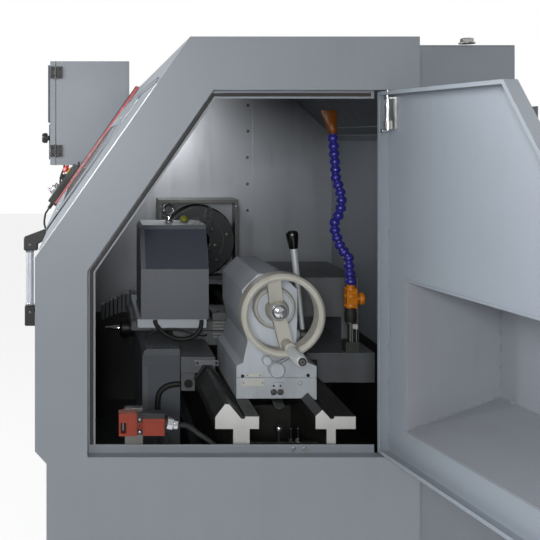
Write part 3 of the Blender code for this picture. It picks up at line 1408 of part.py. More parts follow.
def build_cabinet(painted):
    """Electrical cabinet on the rear wall, open at its back, and its hinged door."""
    left, right = CABINET_X
    low, high = CABINET_Z
    near = REAR_Y + GAP
    far = near + CABINET_DEPTH
    wall = 0.003
    finish(shell_box((left, near, low), (right, far, high), wall, "+Y"), "cabinet_box", painted)
    start = far + GAP
    door = shell_box((left, start, low), (right, start + CABINET_DOOR, high), wall, "-Y")
    handle = box(
        (left + 0.050, start + CABINET_DOOR - 0.001, 1.060),
        (left + 0.076, start + CABINET_DOOR + 0.022, 1.180),
    )
    finish(join(door, handle), "cabinet_door", painted, (right + 0.004, start, low))


def main():
    """Clears the scene and builds every piece."""
    for old in list(bpy.data.objects):
        bpy.data.objects.remove(old)
    light = material("light_grey_paint", (0.62, 0.66, 0.67), 0.45)
    grey = material("machine_grey_paint", (0.40, 0.43, 0.42), 0.50)
    casting = material("cast_paint", (0.55, 0.54, 0.48), 0.50)
    dark = material("dark_paint", (0.10, 0.11, 0.11), 0.55)
    iron = material("ground_iron", (0.33, 0.33, 0.32), 0.40, 1.0)
    stainless = material("stainless_sheet", (0.62, 0.63, 0.62), 0.28, 1.0)
    steel = material("turned_steel", (0.60, 0.60, 0.60), 0.25, 1.0)
    black = material("black_plastic", (0.02, 0.02, 0.02), 0.40)
    red = material("red_plastic", (0.60, 0.05, 0.02), 0.40)
    orange = material("orange_plastic", (0.85, 0.30, 0.03), 0.40)
    blue = material("blue_plastic", (0.05, 0.20, 0.55), 0.40)
    rubber = material("cable_rubber", (0.03, 0.03, 0.03), 0.60)
    glass = material("window_glass", (0.20, 0.24, 0.24), 0.10)

    build_base(dark)
    build_bed(iron)
    build_ball_screw(steel)
    build_tray(grey)
    build_end_panel(light)
    build_rear_wall(grey)
    build_front_sheets(light)
    build_roof(light)
    build_left_cover(light)
    build_bulkhead(stainless)
    build_guard(stainless)
    build_duct(grey)
    build_headstock(casting)
    build_spindle(steel)
    build_chuck(steel, steel)
    build_carriage(casting, dark, light)
    build_coolant(steel, orange, blue)
    build_tailstock(casting, steel, black)
    build_end_door(light, stainless, steel)
    build_front_door(light, glass, black, black)
    build_switch(stainless, red, dark)
    build_control_box(light, black)
    build_pendant(black, red, steel, rubber)
    build_cabinet(light)


main()
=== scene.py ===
"""Looks of an enclosed flat-bed CNC turning lathe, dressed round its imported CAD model.

Metres, +Z up. X runs along the spindle axis towards the tailstock, -Y faces the
operator, and the end door stands open towards the camera.
"""

import json
import logging
import math
from dataclasses import dataclass, field
from enum import Enum
from typing import ClassVar

import bmesh
import bpy
from mathutils import Matrix, Vector

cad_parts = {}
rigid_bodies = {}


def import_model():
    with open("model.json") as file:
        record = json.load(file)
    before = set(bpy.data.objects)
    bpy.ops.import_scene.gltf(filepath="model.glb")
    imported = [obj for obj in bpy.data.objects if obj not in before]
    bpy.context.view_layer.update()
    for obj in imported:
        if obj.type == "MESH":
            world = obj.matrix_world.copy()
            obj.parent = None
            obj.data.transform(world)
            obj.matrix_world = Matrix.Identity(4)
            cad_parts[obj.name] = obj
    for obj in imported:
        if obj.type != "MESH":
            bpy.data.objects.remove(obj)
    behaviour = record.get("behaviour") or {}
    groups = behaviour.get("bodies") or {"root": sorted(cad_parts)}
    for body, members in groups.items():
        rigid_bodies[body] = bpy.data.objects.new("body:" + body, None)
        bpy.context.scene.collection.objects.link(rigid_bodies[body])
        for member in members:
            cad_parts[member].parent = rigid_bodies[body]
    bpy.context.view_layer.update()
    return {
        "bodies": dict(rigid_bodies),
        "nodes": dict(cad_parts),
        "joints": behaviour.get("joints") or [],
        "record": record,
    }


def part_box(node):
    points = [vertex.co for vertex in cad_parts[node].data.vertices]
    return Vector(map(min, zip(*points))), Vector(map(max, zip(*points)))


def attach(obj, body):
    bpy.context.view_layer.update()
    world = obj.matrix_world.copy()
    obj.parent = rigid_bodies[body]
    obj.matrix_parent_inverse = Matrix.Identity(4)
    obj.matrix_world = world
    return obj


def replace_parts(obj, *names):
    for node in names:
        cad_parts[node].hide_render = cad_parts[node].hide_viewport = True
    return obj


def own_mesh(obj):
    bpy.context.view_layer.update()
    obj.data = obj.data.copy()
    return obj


log = logging.getLogger("lathe")

Point = tuple[float, float, float]
Flat = tuple[float, float]
Colour = tuple[float, float, float]
Rect = tuple[float, float, float, float]

# Directions, and the small stand-offs of a dressed piece from the face it lies on.
RIGHT: Point = (1, 0, 0)
FRONT: Point = (0, -1, 0)
REAR: Point = (0, 1, 0)
UP: Point = (0, 0, 1)
GAP = 0.0003
HAIR = 0.0001
# Spindle height, height at which the front begins to slant and its run per metre of rise, and the
# angle in degrees from which an edge counts as sharp.
AXIS_Z = 1.130
CREASE_Z = 1.280
SLANT = 0.70
SHARP_ANGLE = 32


class Body(str, Enum):
    """The CAD bodies that pieces ride on."""

    MACHINE = "machine"
    SPINDLE = "spindle_unit"
    CARRIAGE = "carriage"
    CROSS = "cross_unit"
    TAILSTOCK = "tailstock"
    WHEEL = "wheel"
    CRANK = "crank"
    LEVER = "clamp_lever"
    END_DOOR = "end_door_unit"
    FRONT_DOOR = "front_door_unit"
    CONTROL_DOOR = "control_door_unit"
    PULSE = "pulse_wheel"
    CABINET_DOOR = "cabinet_door_unit"


class Slot(str, Enum):
    """The record's material slots."""

    LIGHT = "light_paint"
    GREY = "grey_paint"
    CAST = "cast_paint"
    DARK = "dark_paint"
    STAINLESS = "stainless"
    STEEL = "turned_steel"
    BLACK = "black_plastic"
    RED = "red_plastic"
    ORANGE = "orange_plastic"
    BLUE = "blue_plastic"
    RUBBER = "cable_rubber"


def srgb(red: int, green: int, blue: int) -> Colour:
    """Linear colour of an 8-bit screen colour."""
    channels = []
    for value in (red, green, blue):
        share = value / 255
        channels.append(share / 12.92 if share <= 0.04045 else ((share + 0.055) / 1.055) ** 2.4)
    return (channels[0], channels[1], channels[2])


class ShaderGroup:
    """A shader node group with named sockets, built once and placed in many materials."""

    def __init__(self, name: str) -> None:
        """Starts an empty group.

        Args:
            name: the group's name.
        """
        self.tree = bpy.data.node_groups.new(name, "ShaderNodeTree")
        self.inlet = self.tree.nodes.new("NodeGroupInput")
        self.outlet = self.tree.nodes.new("NodeGroupOutput")

    def takes(self, name: str, value: float) -> bpy.types.NodeSocket:
        """Adds an input.

        Args:
            name: the socket's name.
            value: its default.

        Returns:
            The socket to link from inside the group.
        """
        socket = self.tree.interface.new_socket(name, in_out="INPUT", socket_type="NodeSocketFloat")
        socket.default_value = value
        return self.inlet.outputs[name]

    def gives(self, name: str, source: bpy.types.NodeSocket, kind: str = "NodeSocketFloat") -> None:
        """Adds an output fed by a socket.

        Args:
            name: the output's name.
            source: what feeds it.
            kind: the socket type.
        """
        self.tree.interface.new_socket(name, in_out="OUTPUT", socket_type=kind)
        self.tree.links.new(source, self.outlet.inputs[name])


class Graph:
    """Short ways to add nodes to a tree."""

    def __init__(self, tree: bpy.types.NodeTree) -> None:
        """Keeps the tree that nodes are added to."""
        self.tree = tree

    def node(self, kind: str, **sockets: object) -> bpy.types.Node:
        """Adds a node and sets or links its inputs.

        Args:
            kind: the node type without its ShaderNode prefix.
            sockets: inputs by name, with underscores for spaces.

        Returns:
            The new node.
        """
        made = self.tree.nodes.new(f"ShaderNode{kind}")
        for name, value in sockets.items():
            self.put(made.inputs[name.replace("_", " ")], value)
        return made

    def put(self, socket: bpy.types.NodeSocket, value: object) -> None:
        """Links a socket, or sets it where the value is plain."""
        if isinstance(value, bpy.types.NodeSocket):
            self.tree.links.new(value, socket)
        else:
            socket.default_value = value

    def math(self, operation: str, first: object, second: object = 0.0) -> bpy.types.NodeSocket:
        """Adds a clamped math node and returns its value."""
        made = self.tree.nodes.new("ShaderNodeMath")
        made.operation = operation
        made.use_clamp = True
        self.put(made.inputs[0], first)
        self.put(made.inputs[1], second)
        return made.outputs[0]

    def mix(self, share: object, first: object, second: object) -> bpy.types.NodeSocket:
        """Mixes two colours by a share and returns the result."""
        made = self.tree.nodes.new("ShaderNodeMix")
        made.data_type = "RGBA"
        self.put(made.inputs[0], share)
        for socket, value in ((made.inputs[6], first), (made.inputs[7], second)):
            self.put(socket, value if isinstance(value, bpy.types.NodeSocket) else (*value, 1.0))
        return made.outputs[2]

    def noise(self, scale: object, stretch: Point = (1, 1, 1), detail: float = 4.0) -> bpy.types.NodeSocket:
        """Adds noise in object space, stretched along the axes.

        Args:
            scale: cells per metre.
            stretch: factor along each axis; a small one draws long streaks.
            detail: octaves.

        Returns:
            The noise value.
        """
        place = self.tree.nodes.new("ShaderNodeTexCoord").outputs["Object"]
        mapping = self.node("Mapping", Vector=place)
        mapping.inputs["Scale"].default_value = stretch
        made = self.node("TexNoise", Vector=mapping.outputs[0], Scale=scale, Detail=detail)
        return made.outputs["Fac"]

    def ramp(self, value: object, low: float, high: float) -> bpy.types.NodeSocket:
        """Maps a value from low..high to 0..1."""
        made = self.node("MapRange", Value=value)
        made.inputs["From Min"].default_value = low
        made.inputs["From Max"].default_value = high
        return made.outputs[0]


class Effects:
    """The shader groups shared by the finishes."""

    def __init__(self) -> None:
        """Builds every group once."""
        self.edge_wear = self._edge_wear()
        self.grime = self._grime()
        self.brushed = self._brushed()
        self.peel = self._peel()
        self.cast_skin = self._cast_skin()

    @staticmethod
    def _edge_wear() -> bpy.types.NodeTree:
        """Mask along sharp edges, broken up by noise."""
        group = ShaderGroup("edge_wear")
        graph = Graph(group.tree)
        width = group.takes("Width", 0.002)
        breakup = group.takes("Breakup", 60.0)
        soft = graph.node("Bevel", Radius=width)
        soft.samples = 4
        true_normal = group.tree.nodes.new("ShaderNodeNewGeometry").outputs["Normal"]
        dot = group.tree.nodes.new("ShaderNodeVectorMath")
        dot.operation = "DOT_PRODUCT"
        group.tree.links.new(soft.outputs[0], dot.inputs[0])
        group.tree.links.new(true_normal, dot.inputs[1])
        edge = graph.ramp(dot.outputs["Value"], 0.992, 0.90)
        spots = graph.ramp(graph.noise(breakup), 0.42, 0.62)
        group.gives("Mask", graph.math("MULTIPLY", edge, spots))
        group.gives("Rounded", soft.outputs[0], "NodeSocketVector")
        return group.tree

    @staticmethod
    def _grime() -> bpy.types.NodeTree:
        """Mask of soft cloudy dirt with short vertical runs."""
        group = ShaderGroup("grime")
        graph = Graph(group.tree)
        scale = group.takes("Scale", 3.0)
        clouds = graph.ramp(graph.noise(scale), 0.40, 0.75)
        runs = graph.ramp(graph.noise(18.0, (1.0, 1.0, 0.08)), 0.50, 0.80)
        group.gives("Mask", graph.math("MULTIPLY", clouds, graph.math("ADD", runs, 0.45)))
        return group.tree

    @staticmethod
    def _brushed() -> bpy.types.NodeTree:
        """Fine lines along Y: a shade and a height."""
        group = ShaderGroup("brushed_grain")
        graph = Graph(group.tree)
        scale = group.takes("Scale", 600.0)
        lines = graph.noise(scale, (1.0, 0.012, 1.0), 2.0)
        broad = graph.noise(6.0, (1.0, 0.25, 1.0))
        group.gives("Line", lines)
        group.gives("Cloud", broad)
        return group.tree

    @staticmethod
    def _peel() -> bpy.types.NodeTree:
        """Orange peel of sprayed paint: a height and a faint mottling."""
        group = ShaderGroup("paint_peel")
        graph = Graph(group.tree)
        scale = group.takes("Scale", 260.0)
        group.gives("Height", graph.noise(scale, detail=2.0))
        group.gives("Mottle", graph.noise(2.2))
        return group.tree

    @staticmethod
    def _cast_skin() -> bpy.types.NodeTree:
        """Sand-cast skin under paint: lumps and pits."""
        group = ShaderGroup("cast_skin")
        graph = Graph(group.tree)
        scale = group.takes("Scale", 90.0)
        lumps = graph.noise(scale)
        pits = graph.ramp(graph.noise(420.0, detail=1.0), 0.30, 0.42)
        both = graph.math("ADD", graph.math("MULTIPLY", lumps, 0.8), graph.math("MULTIPLY", pits, 0.2))
        group.gives("Height", both)
        return group.tree


@dataclass(frozen=True)
class Finish:
    """A surface finish: one colour with its own gloss, dirt and wear."""

    name: str
    colour: Colour
    roughness: float
    metallic: float = 0.0
    grime: float = 0.0
    grime_colour: Colour = (0.03, 0.028, 0.025)
    wear: float = 0.0
    wear_colour: Colour = (0.45, 0.44, 0.42)
    edge: float = 0.0015
    peel: float = 0.0
    cast: float = 0.0
    brushed: float = 0.0
    mottle: float = 0.06
    coat: float = 0.0
    alpha: float = 1.0

    def build(self, effects: Effects) -> bpy.types.Material:
        """Makes the material.

        Args:
            effects: the shared shader groups.

        Returns:
            The new material.
        """
        made = bpy.data.materials.new(self.name)
        made.use_nodes = True
        tree = made.node_tree
        graph = Graph(tree)
        shader = tree.nodes["Principled BSDF"]
        dark = tuple(value * (1 - 2 * self.mottle) for value in self.colour)
        peel = self._group(tree, effects.peel)
        colour = graph.mix(graph.ramp(peel.outputs["Mottle"], 0.30, 0.70), dark, self.colour)
        rough = graph.node("MapRange", Value=peel.outputs["Mottle"]).outputs[0]
        spread = rough.node
        spread.inputs["To Min"].default_value = max(self.roughness - 0.06, 0.02)
        spread.inputs["To Max"].default_value = min(self.roughness + 0.06, 1.0)
        height = None
        if self.brushed:
            grain = self._group(tree, effects.brushed)
            bright = tuple(min(value * 1.12, 1.0) for value in self.colour)
            share = graph.math("MULTIPLY", grain.outputs["Line"], self.brushed)
            colour = graph.mix(share, colour, bright)
            rough = graph.math("ADD", rough, graph.math("MULTIPLY", grain.outputs["Cloud"], 0.12))
            height = graph.math("MULTIPLY", grain.outputs["Line"], self.brushed)
        if self.grime:
            dirt = self._group(tree, effects.grime)
            share = graph.math("MULTIPLY", dirt.outputs["Mask"], self.grime)
            colour = graph.mix(share, colour, self.grime_colour)
            rough = graph.math("ADD", rough, graph.math("MULTIPLY", share, 0.2))
        normal = None
        if self.edge:
            worn = self._group(tree, effects.edge_wear)
            worn.inputs["Width"].default_value = self.edge
            normal = worn.outputs["Rounded"]
            if self.wear:
                share = graph.math("MULTIPLY", worn.outputs["Mask"], self.wear)
                colour = graph.mix(share, colour, self.wear_colour)
        if self.cast:
            height = self._group(tree, effects.cast_skin).outputs["Height"]
        elif self.peel:
            height = peel.outputs["Height"]
        if height is not None:
            bump = graph.node("Bump", Height=height)
            bump.inputs["Strength"].default_value = max(self.cast, self.peel, self.brushed * 0.12)
            bump.inputs["Distance"].default_value = 0.0006
            if normal is not None:
                graph.put(bump.inputs["Normal"], normal)
            normal = bump.outputs[0]
        if normal is not None:
            graph.put(shader.inputs["Normal"], normal)
        graph.put(shader.inputs["Base Color"], colour)
        graph.put(shader.inputs["Roughness"], rough)
        shader.inputs["Metallic"].default_value = self.metallic
        shader.inputs["Coat Weight"].default_value = self.coat
        shader.inputs["Coat Roughness"].default_value = 0.30
        shader.inputs["Alpha"].default_value = self.alpha
        return made

    @staticmethod
    def _group(tree: bpy.types.NodeTree, group: bpy.types.NodeTree) -> bpy.types.Node:
        """Places a shader group in a material."""
        made = tree.nodes.new("ShaderNodeGroup")
        made.node_tree = group
        return made


FINISHES = (
    Finish(
        "panel_paint", srgb(130, 137, 144), 0.42, grime=0.18, wear=0.5, peel=0.10, mottle=0.02, coat=0.15,
        grime_colour=(0.12, 0.115, 0.105), wear_colour=(0.36, 0.38, 0.40),
    ),
    Finish(
        "door_paint", srgb(141, 149, 158), 0.40, grime=0.22, wear=0.4, peel=0.10, mottle=0.02, coat=0.15,
        grime_colour=(0.12, 0.115, 0.105), wear_colour=(0.38, 0.40, 0.42),
    ),
    Finish(
        "inner_paint", srgb(118, 124, 130), 0.50, grime=0.45, peel=0.10, mottle=0.05,
        grime_colour=(0.045, 0.043, 0.040),
    ),
    Finish(
        "pocket_paint", srgb(150, 154, 162), 0.46, grime=0.35, peel=0.10, mottle=0.05,
        grime_colour=(0.16, 0.13, 0.10),
    ),
    Finish("base_paint", srgb(62, 66, 70), 0.55, grime=0.5, wear=0.6, peel=0.14, mottle=0.05),
    Finish(
        "bulkhead_sheet", srgb(168, 172, 178), 0.42, metallic=0.65, brushed=0.35, grime=0.35, edge=0.0,
        grime_colour=(0.06, 0.062, 0.07), mottle=0.05,
    ),
    Finish(
        "guard_sheet", srgb(118, 118, 116), 0.34, metallic=0.9, brushed=0.45, grime=0.5, mottle=0.10,
    ),
    Finish(
        "cast_paint", srgb(200, 207, 214), 0.46, grime=0.45, wear=0.8, cast=0.35, mottle=0.05,
        grime_colour=(0.05, 0.048, 0.042), wear_colour=(0.30, 0.29, 0.27), edge=0.003,
    ),
    # Handwheel and dial paint: its heavy brown grime is partly dirt and partly painted shade, standing for
    # the brown shade inside the rim and on the spokes.
    Finish(
        "wheel_paint_dirt_and_shade", srgb(192, 190, 180), 0.36, grime=0.60, wear=0.9, cast=0.10, mottle=0.08, coat=0.3,
        grime_colour=(0.10, 0.085, 0.06), wear_colour=(0.50, 0.49, 0.46), edge=0.002,
    ),
    Finish(
        "slide_paint", srgb(104, 108, 112), 0.48, grime=0.65, wear=0.9, cast=0.22, mottle=0.08,
        grime_colour=(0.02, 0.02, 0.02), wear_colour=(0.34, 0.34, 0.33), edge=0.002,
    ),
    Finish(
        "cover_paint", srgb(112, 116, 123), 0.38, grime=0.30, wear=0.7, peel=0.12, mottle=0.04, coat=0.2,
        grime_colour=(0.04, 0.04, 0.045),
    ),
    Finish("cover_dark", srgb(72, 76, 90), 0.42, grime=0.30, wear=0.4, peel=0.12, mottle=0.04),
    Finish(
        "bed_iron", srgb(84, 84, 82), 0.36, metallic=0.8, brushed=0.25, grime=0.75, wear=0.5, mottle=0.12,
        grime_colour=(0.012, 0.012, 0.011), wear_colour=(0.5, 0.5, 0.5),
    ),
    Finish(
        "tray_steel", srgb(60, 62, 60), 0.40, metallic=0.3, grime=0.9, mottle=0.15,
        grime_colour=(0.010, 0.010, 0.009),
    ),
    Finish("steel", srgb(178, 178, 178), 0.22, metallic=1.0, brushed=0.3, grime=0.25, mottle=0.06),
    Finish(
        "dull_steel", srgb(120, 120, 118), 0.38, metallic=1.0, brushed=0.3, grime=0.6, mottle=0.12,
        grime_colour=(0.02, 0.018, 0.015),
    ),
    Finish("chrome", srgb(205, 207, 210), 0.08, metallic=1.0, mottle=0.01),
    Finish(
        "chuck_steel", srgb(84, 86, 88), 0.30, metallic=1.0, brushed=0.25, grime=0.6, wear=0.8, mottle=0.12,
        grime_colour=(0.015, 0.013, 0.010), wear_colour=(0.55, 0.55, 0.55),
    ),
    Finish("black_plastic", srgb(24, 24, 26), 0.42, grime=0.15, grime_colour=(0.05, 0.05, 0.05)),
    Finish("gloss_black", srgb(14, 14, 16), 0.16, coat=0.5, mottle=0.02),
    Finish("black_rubber", srgb(26, 25, 24), 0.62, grime=0.3, grime_colour=(0.06, 0.055, 0.05)),
    # Dark brown rubber; on the end opening's seal this brown also stands partly for painted shade on the
    # lips.
    Finish("seal_rubber", srgb(38, 32, 29), 0.55, grime=0.3, grime_colour=(0.07, 0.05, 0.035)),
    Finish("cable_rubber", srgb(22, 22, 23), 0.50, edge=0.0),
    Finish("red_paint", srgb(168, 36, 40), 0.30, grime=0.12, coat=0.4, mottle=0.02),
    Finish("switch_red", srgb(136, 44, 20), 0.36, grime=0.45, grime_colour=(0.10, 0.03, 0.015)),
    Finish("stop_red", srgb(196, 26, 30), 0.24, coat=0.4, mottle=0.01),
    Finish("yellow", srgb(228, 186, 28), 0.32, mottle=0.02),
    Finish(
        "valve_orange", srgb(222, 132, 22), 0.34, grime=0.30, coat=0.3, grime_colour=(0.30, 0.12, 0.01),
    ),
    Finish(
        "nozzle_orange", srgb(122, 68, 12), 0.40, grime=0.45, grime_colour=(0.12, 0.05, 0.01),
    ),
    Finish("hose_blue", srgb(54, 50, 156), 0.30, grime=0.15, coat=0.4, edge=0.0, mottle=0.08),
    Finish("white_plate", srgb(214, 214, 208), 0.45, grime=0.25, grime_colour=(0.25, 0.22, 0.18)),
    Finish("weld", srgb(150, 155, 160), 0.48, grime=0.3, cast=0.3, edge=0.0),
    Finish("window", srgb(70, 78, 80), 0.08, grime=0.10, edge=0.0, alpha=0.50, coat=0.5),
    Finish(
        "rail_end", srgb(214, 215, 212), 0.50, grime=0.30, cast=0.15, mottle=0.04,
        grime_colour=(0.22, 0.18, 0.13), wear=0.3, wear_colour=(0.25, 0.24, 0.22), edge=0.001,
    ),
    Finish("white_rod", srgb(232, 235, 238), 0.28, metallic=0.4, grime=0.15, mottle=0.03),
    Finish("satin_steel", srgb(214, 216, 220), 0.30, metallic=0.85, brushed=0.2, mottle=0.03),
    Finish("cap_yellow", srgb(150, 152, 40), 0.40, grime=0.2),
    Finish("rib_metal", srgb(150, 151, 148), 0.40, metallic=0.6, brushed=0.2, grime=0.4, mottle=0.08),
    Finish("steel_plate", srgb(140, 143, 148), 0.36, metallic=0.6, grime=0.3, mottle=0.06),
    Finish("apron_paint", srgb(92, 97, 103), 0.44, grime=0.35, peel=0.12, mottle=0.05),
    Finish("carrier_grey", srgb(86, 88, 90), 0.46, grime=0.4, mottle=0.10),
)


@dataclass(frozen=True)
class Palette:
    """The finishes by name, each material built when first used."""

    effects: Effects
    made: dict[str, bpy.types.Material] = field(default_factory=dict)
    finishes: dict[str, Finish] = field(default_factory=lambda: {finish.name: finish for finish in FINISHES})

    def get(self, name: str) -> bpy.types.Material:
        """The material of a finish.

        Args:
            name: the finish's name.

        Returns:
            The material.
        """
        if name not in self.made:
            self.made[name] = self.finishes[name].build(self.effects)
        return self.made[name]


def unit_frame(axis: Point) -> Matrix:
    """Rotation that turns +Z to an axis."""
    return Vector(axis).to_track_quat("Z", "Y").to_matrix()


class Piece:
    """One dressed piece: solids gathered in a mesh, then given finish and body."""

    palette: ClassVar[Palette]

    def __init__(self, name: str) -> None:
        """Starts an empty piece with its name."""
        self.name = name
        self.mesh = bmesh.new()

    def prism(self, outline: list[Flat], axis: str, low: float, high: float) -> "Piece":
        """Adds a straight prism.

        Args:
            outline: section points; (Y, Z) along X, (X, Z) along Y, (X, Y) along Z.
            axis: the axis it runs along.
            low: its first station.
            high: its last station.

        Returns:
            The piece.
        """
        def place(a: float, b: float, c: float) -> Point:
            return {"X": (c, a, b), "Y": (a, c, b), "Z": (a, b, c)}[axis]

        start = [self.mesh.verts.new(place(a, b, low)) for a, b in outline]
        end = [self.mesh.verts.new(place(a, b, high)) for a, b in outline]
        self.mesh.faces.new(start)
        self.mesh.faces.new(end)
        for index in range(len(outline)):
            after = (index + 1) % len(outline)
            self.mesh.faces.new((start[index], start[after], end[after], end[index]))
        return self

    def block(self, low: Point, high: Point) -> "Piece":
        """Adds a block between two corners."""
        outline = [(low[0], low[1]), (high[0], low[1]), (high[0], high[1]), (low[0], high[1])]
        return self.prism(outline, "Z", low[2], high[2])

    def border(self, outer: Rect, inner: Rect, axis: str, low: float, high: float) -> "Piece":
        """Adds a rectangular frame.

        Args:
            outer: its outside in the section's plane: left, bottom, right and top.
            inner: its opening, in the same order.
            axis: the axis it faces along.
            low: its first station.
            high: its last station.

        Returns:
            The piece.
        """
        left, bottom, right, top = outer
        x0, y0, x1, y1 = inner
        bars = ((left, bottom, x0, top), (x1, bottom, right, top), (x0, bottom, x1, y0), (x0, y1, x1, top))
        for a0, b0, a1, b1 in bars:
            self.prism([(a0, b0), (a1, b0), (a1, b1), (a0, b1)], axis, low, high)
        return self

    def turned(
        self, profile: list[Flat], centre: Point, axis: Point = (1, 0, 0), steps: int = 32, ring: bool = False
    ) -> "Piece":
        """Adds a turned solid.

        Args:
            profile: (radius, height) points.
            centre: where height is zero.
            axis: the turning axis.
            steps: points round the axis.
            ring: closes the profile on itself.

        Returns:
            The piece.
        """
        turn = unit_frame(axis)
        rings = []
        for radius, height in profile:
            count = 1 if radius < 1e-6 else steps
            rings.append(
                [
                    self.mesh.verts.new(
                        Vector(centre)
                        + turn @ Vector((radius * math.cos(a), radius * math.sin(a), height))
                    )
                    for a in (2 * math.pi * step / steps for step in range(count))
                ]
            )
        pairs = list(zip(rings, rings[1:])) + ([(rings[-1], rings[0])] if ring else [])
        for lower, upper in pairs:
            for step in range(steps):
                after = (step + 1) % steps
                corners = [lower[step % len(lower)], lower[after % len(lower)]]
                corners += [upper[after % len(upper)], upper[step % len(upper)]]
                unique = list(dict.fromkeys(corners))
                if len(unique) > 2:
                    self.mesh.faces.new(unique)
        return self

    def rod(self, start: Point, end: Point, radius: float, steps: int = 20) -> "Piece":
        """Adds a round rod with softened ends."""
        span = Vector(end) - Vector(start)
        soft = min(radius * 0.25, span.length * 0.2)
        profile = [
            (0, 0), (radius - soft, 0), (radius, soft), (radius, span.length - soft),
            (radius - soft, span.length), (0, span.length),
        ]
        return self.turned(profile, start, tuple(span), steps)

    def sweep(self, path: list[Vector], radii: list[float] | float, steps: int = 12) -> "Piece":
        """Adds a round skin along a path.

        Args:
            path: its centre points.
            radii: one radius, or one at each point.
            steps: points round the path.

        Returns:
            The piece.
        """
        sizes = radii if isinstance(radii, list) else [radii] * len(path)
        side = (path[1] - path[0]).normalized().orthogonal().normalized()
        rings = []
        for index, point in enumerate(path):
            ahead = (path[min(index + 1, len(path) - 1)] - path[max(index - 1, 0)]).normalized()
            side = (side - ahead * side.dot(ahead)).normalized()
            up = ahead.cross(side)
            rings.append(
                [
                    self.mesh.verts.new(point + (side * math.cos(a) + up * math.sin(a)) * sizes[index])
                    for a in (2 * math.pi * step / steps for step in range(steps))
                ]
            )
        self.mesh.faces.new(rings[0])
        self.mesh.faces.new(rings[-1])
        for lower, upper in zip(rings, rings[1:]):
            for step in range(steps):
                after = (step + 1) % steps
                self.mesh.faces.new((lower[step], lower[after], upper[after], upper[step]))
        return self

    def bolt(self, place: Point, axis: Point, size: float, hexagon: bool = False) -> "Piece":
        """Adds a screw head: a low dome with a socket, or a hexagon on a washer.

        Args:
            place: centre of the seat.
            axis: direction out of the seat.
            size: head radius.
            hexagon: a hexagon head instead of a socket head.

        Returns:
            The piece.
        """
        if hexagon:
            self.turned(disc(size * 1.25, size * 0.18), place, axis, 20)
            base = Vector(place) + Vector(axis).normalized() * size * 0.15
            head = [(0, 0), (size, 0), (size, size * 0.6), (size * 0.86, size * 0.72), (0, size * 0.72)]
            return self.turned(head, tuple(base), axis, 6)
        head = [
            (0, size * 0.15), (size * 0.45, size * 0.15), (size * 0.5, size * 0.55), (size * 0.8, size * 0.5),
            (size, size * 0.25), (size, 0), (0, 0),
        ]
        return self.turned(head, place, axis, 16)

    def bolts(self, places: list[Point], axis: Point, size: float) -> "Piece":
        """Adds a screw head at each place."""
        for place in places:
            self.bolt(place, axis, size)
        return self

    def moved(self, matrix: Matrix) -> "Piece":
        """Moves everything gathered so far by a matrix."""
        bmesh.ops.transform(self.mesh, matrix=matrix, verts=self.mesh.verts)
        return self

    def make(
        self, finish: str, slot: Slot, body: Body = Body.MACHINE, bevel: float = 0.0, smooth: float = 35.0
    ) -> bpy.types.Object:
        """Turns the gathered solids into an object on its body.

        Args:
            finish: name of its finish.
            slot: the record's material slot; not used.
            body: the CAD body it rides on.
            bevel: width of the softened edges, or 0.
            smooth: edges sharper than this angle stay sharp.

        Returns:
            The object.
        """
        bmesh.ops.recalc_face_normals(self.mesh, faces=self.mesh.faces)
        data = bpy.data.meshes.new(self.name)
        self.mesh.to_mesh(data)
        self.mesh.free()
        data.materials.append(self.palette.get(finish))
        made = bpy.data.objects.new(self.name, data)
        bpy.context.scene.collection.objects.link(made)
        data.shade_smooth()
        data.set_sharp_from_angle(angle=math.radians(smooth))
        if bevel:
            softener = made.modifiers.new("soft_edges", "BEVEL")
            softener.width = bevel
            softener.segments = 2
            softener.limit_method = "ANGLE"
            softener.angle_limit = math.radians(SHARP_ANGLE)
        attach(made, body.value)
        log.info("%s rides on %s", self.name, body.value)
        return made


def smooth_route(points: list[Point], count: int) -> list[Vector]:
    """Evenly spaced points of a Catmull-Rom curve.

    Args:
        points: the points it passes through.
        count: how many points to give back.

    Returns:
        Points from the first to the last.
    """
    ends = [points[0], *points, points[-1]]
    dense: list[Vector] = []
    for group in zip(ends, ends[1:], ends[2:], ends[3:]):
        a, b, c, d = (Vector(point) for point in group)
        for step in range(16):
            t = step / 16
            dense.append(
                0.5 * (2 * b + (c - a) * t + (2 * a - 5 * b + 4 * c - d) * t**2
                       + (3 * b - a - 3 * c + d) * t**3)
            )
    dense.append(Vector(points[-1]))
    lengths = [0.0]
    for lower, upper in zip(dense, dense[1:]):
        lengths.append(lengths[-1] + (upper - lower).length)
    picked = []
    at = 0
    for step in range(count):
        target = lengths[-1] * step / (count - 1)
        while at < len(dense) - 2 and lengths[at + 1] < target:
            at += 1
        share = (target - lengths[at]) / max(lengths[at + 1] - lengths[at], 1e-9)
        picked.append(dense[at].lerp(dense[at + 1], min(max(share, 0.0), 1.0)))
    return picked


def flats(*values: float) -> tuple[Flat, ...]:
    """Pairs of metres from a row of millimetres."""
    return tuple((values[at] / 1000, values[at + 1] / 1000) for at in range(0, len(values), 2))


def points(*values: float) -> tuple[Point, ...]:
    """Triples of metres from a row of millimetres."""
    return tuple(tuple(value / 1000 for value in values[at : at + 3]) for at in range(0, len(values), 3))


def polar(radius: float, angle: float, centre: Flat = (0.0, 0.0)) -> Flat:
    """The point of a circle at an angle in radians."""
    return (centre[0] + radius * math.cos(angle), centre[1] + radius * math.sin(angle))


def disc(radius: float, height: float) -> list[Flat]:
    """Turning profile of a plain disc."""
    return [(0, 0), (radius, 0), (radius, height), (0, height)]


def hoop(inner: float, outer: float, height: float) -> list[Flat]:
    """Turning profile of a plain ring."""
    return [(inner, 0), (outer, 0), (outer, height), (inner, height)]


def slant_matrix() -> Matrix:
    """Turns (X, up the slanted front, outward) into the machine's frame."""
    crease = (0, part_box("front_panel_right")[0].y, CREASE_Z)
    return Matrix.Translation(crease) @ Matrix.Rotation(math.atan2(1, SLANT), 4, "X")


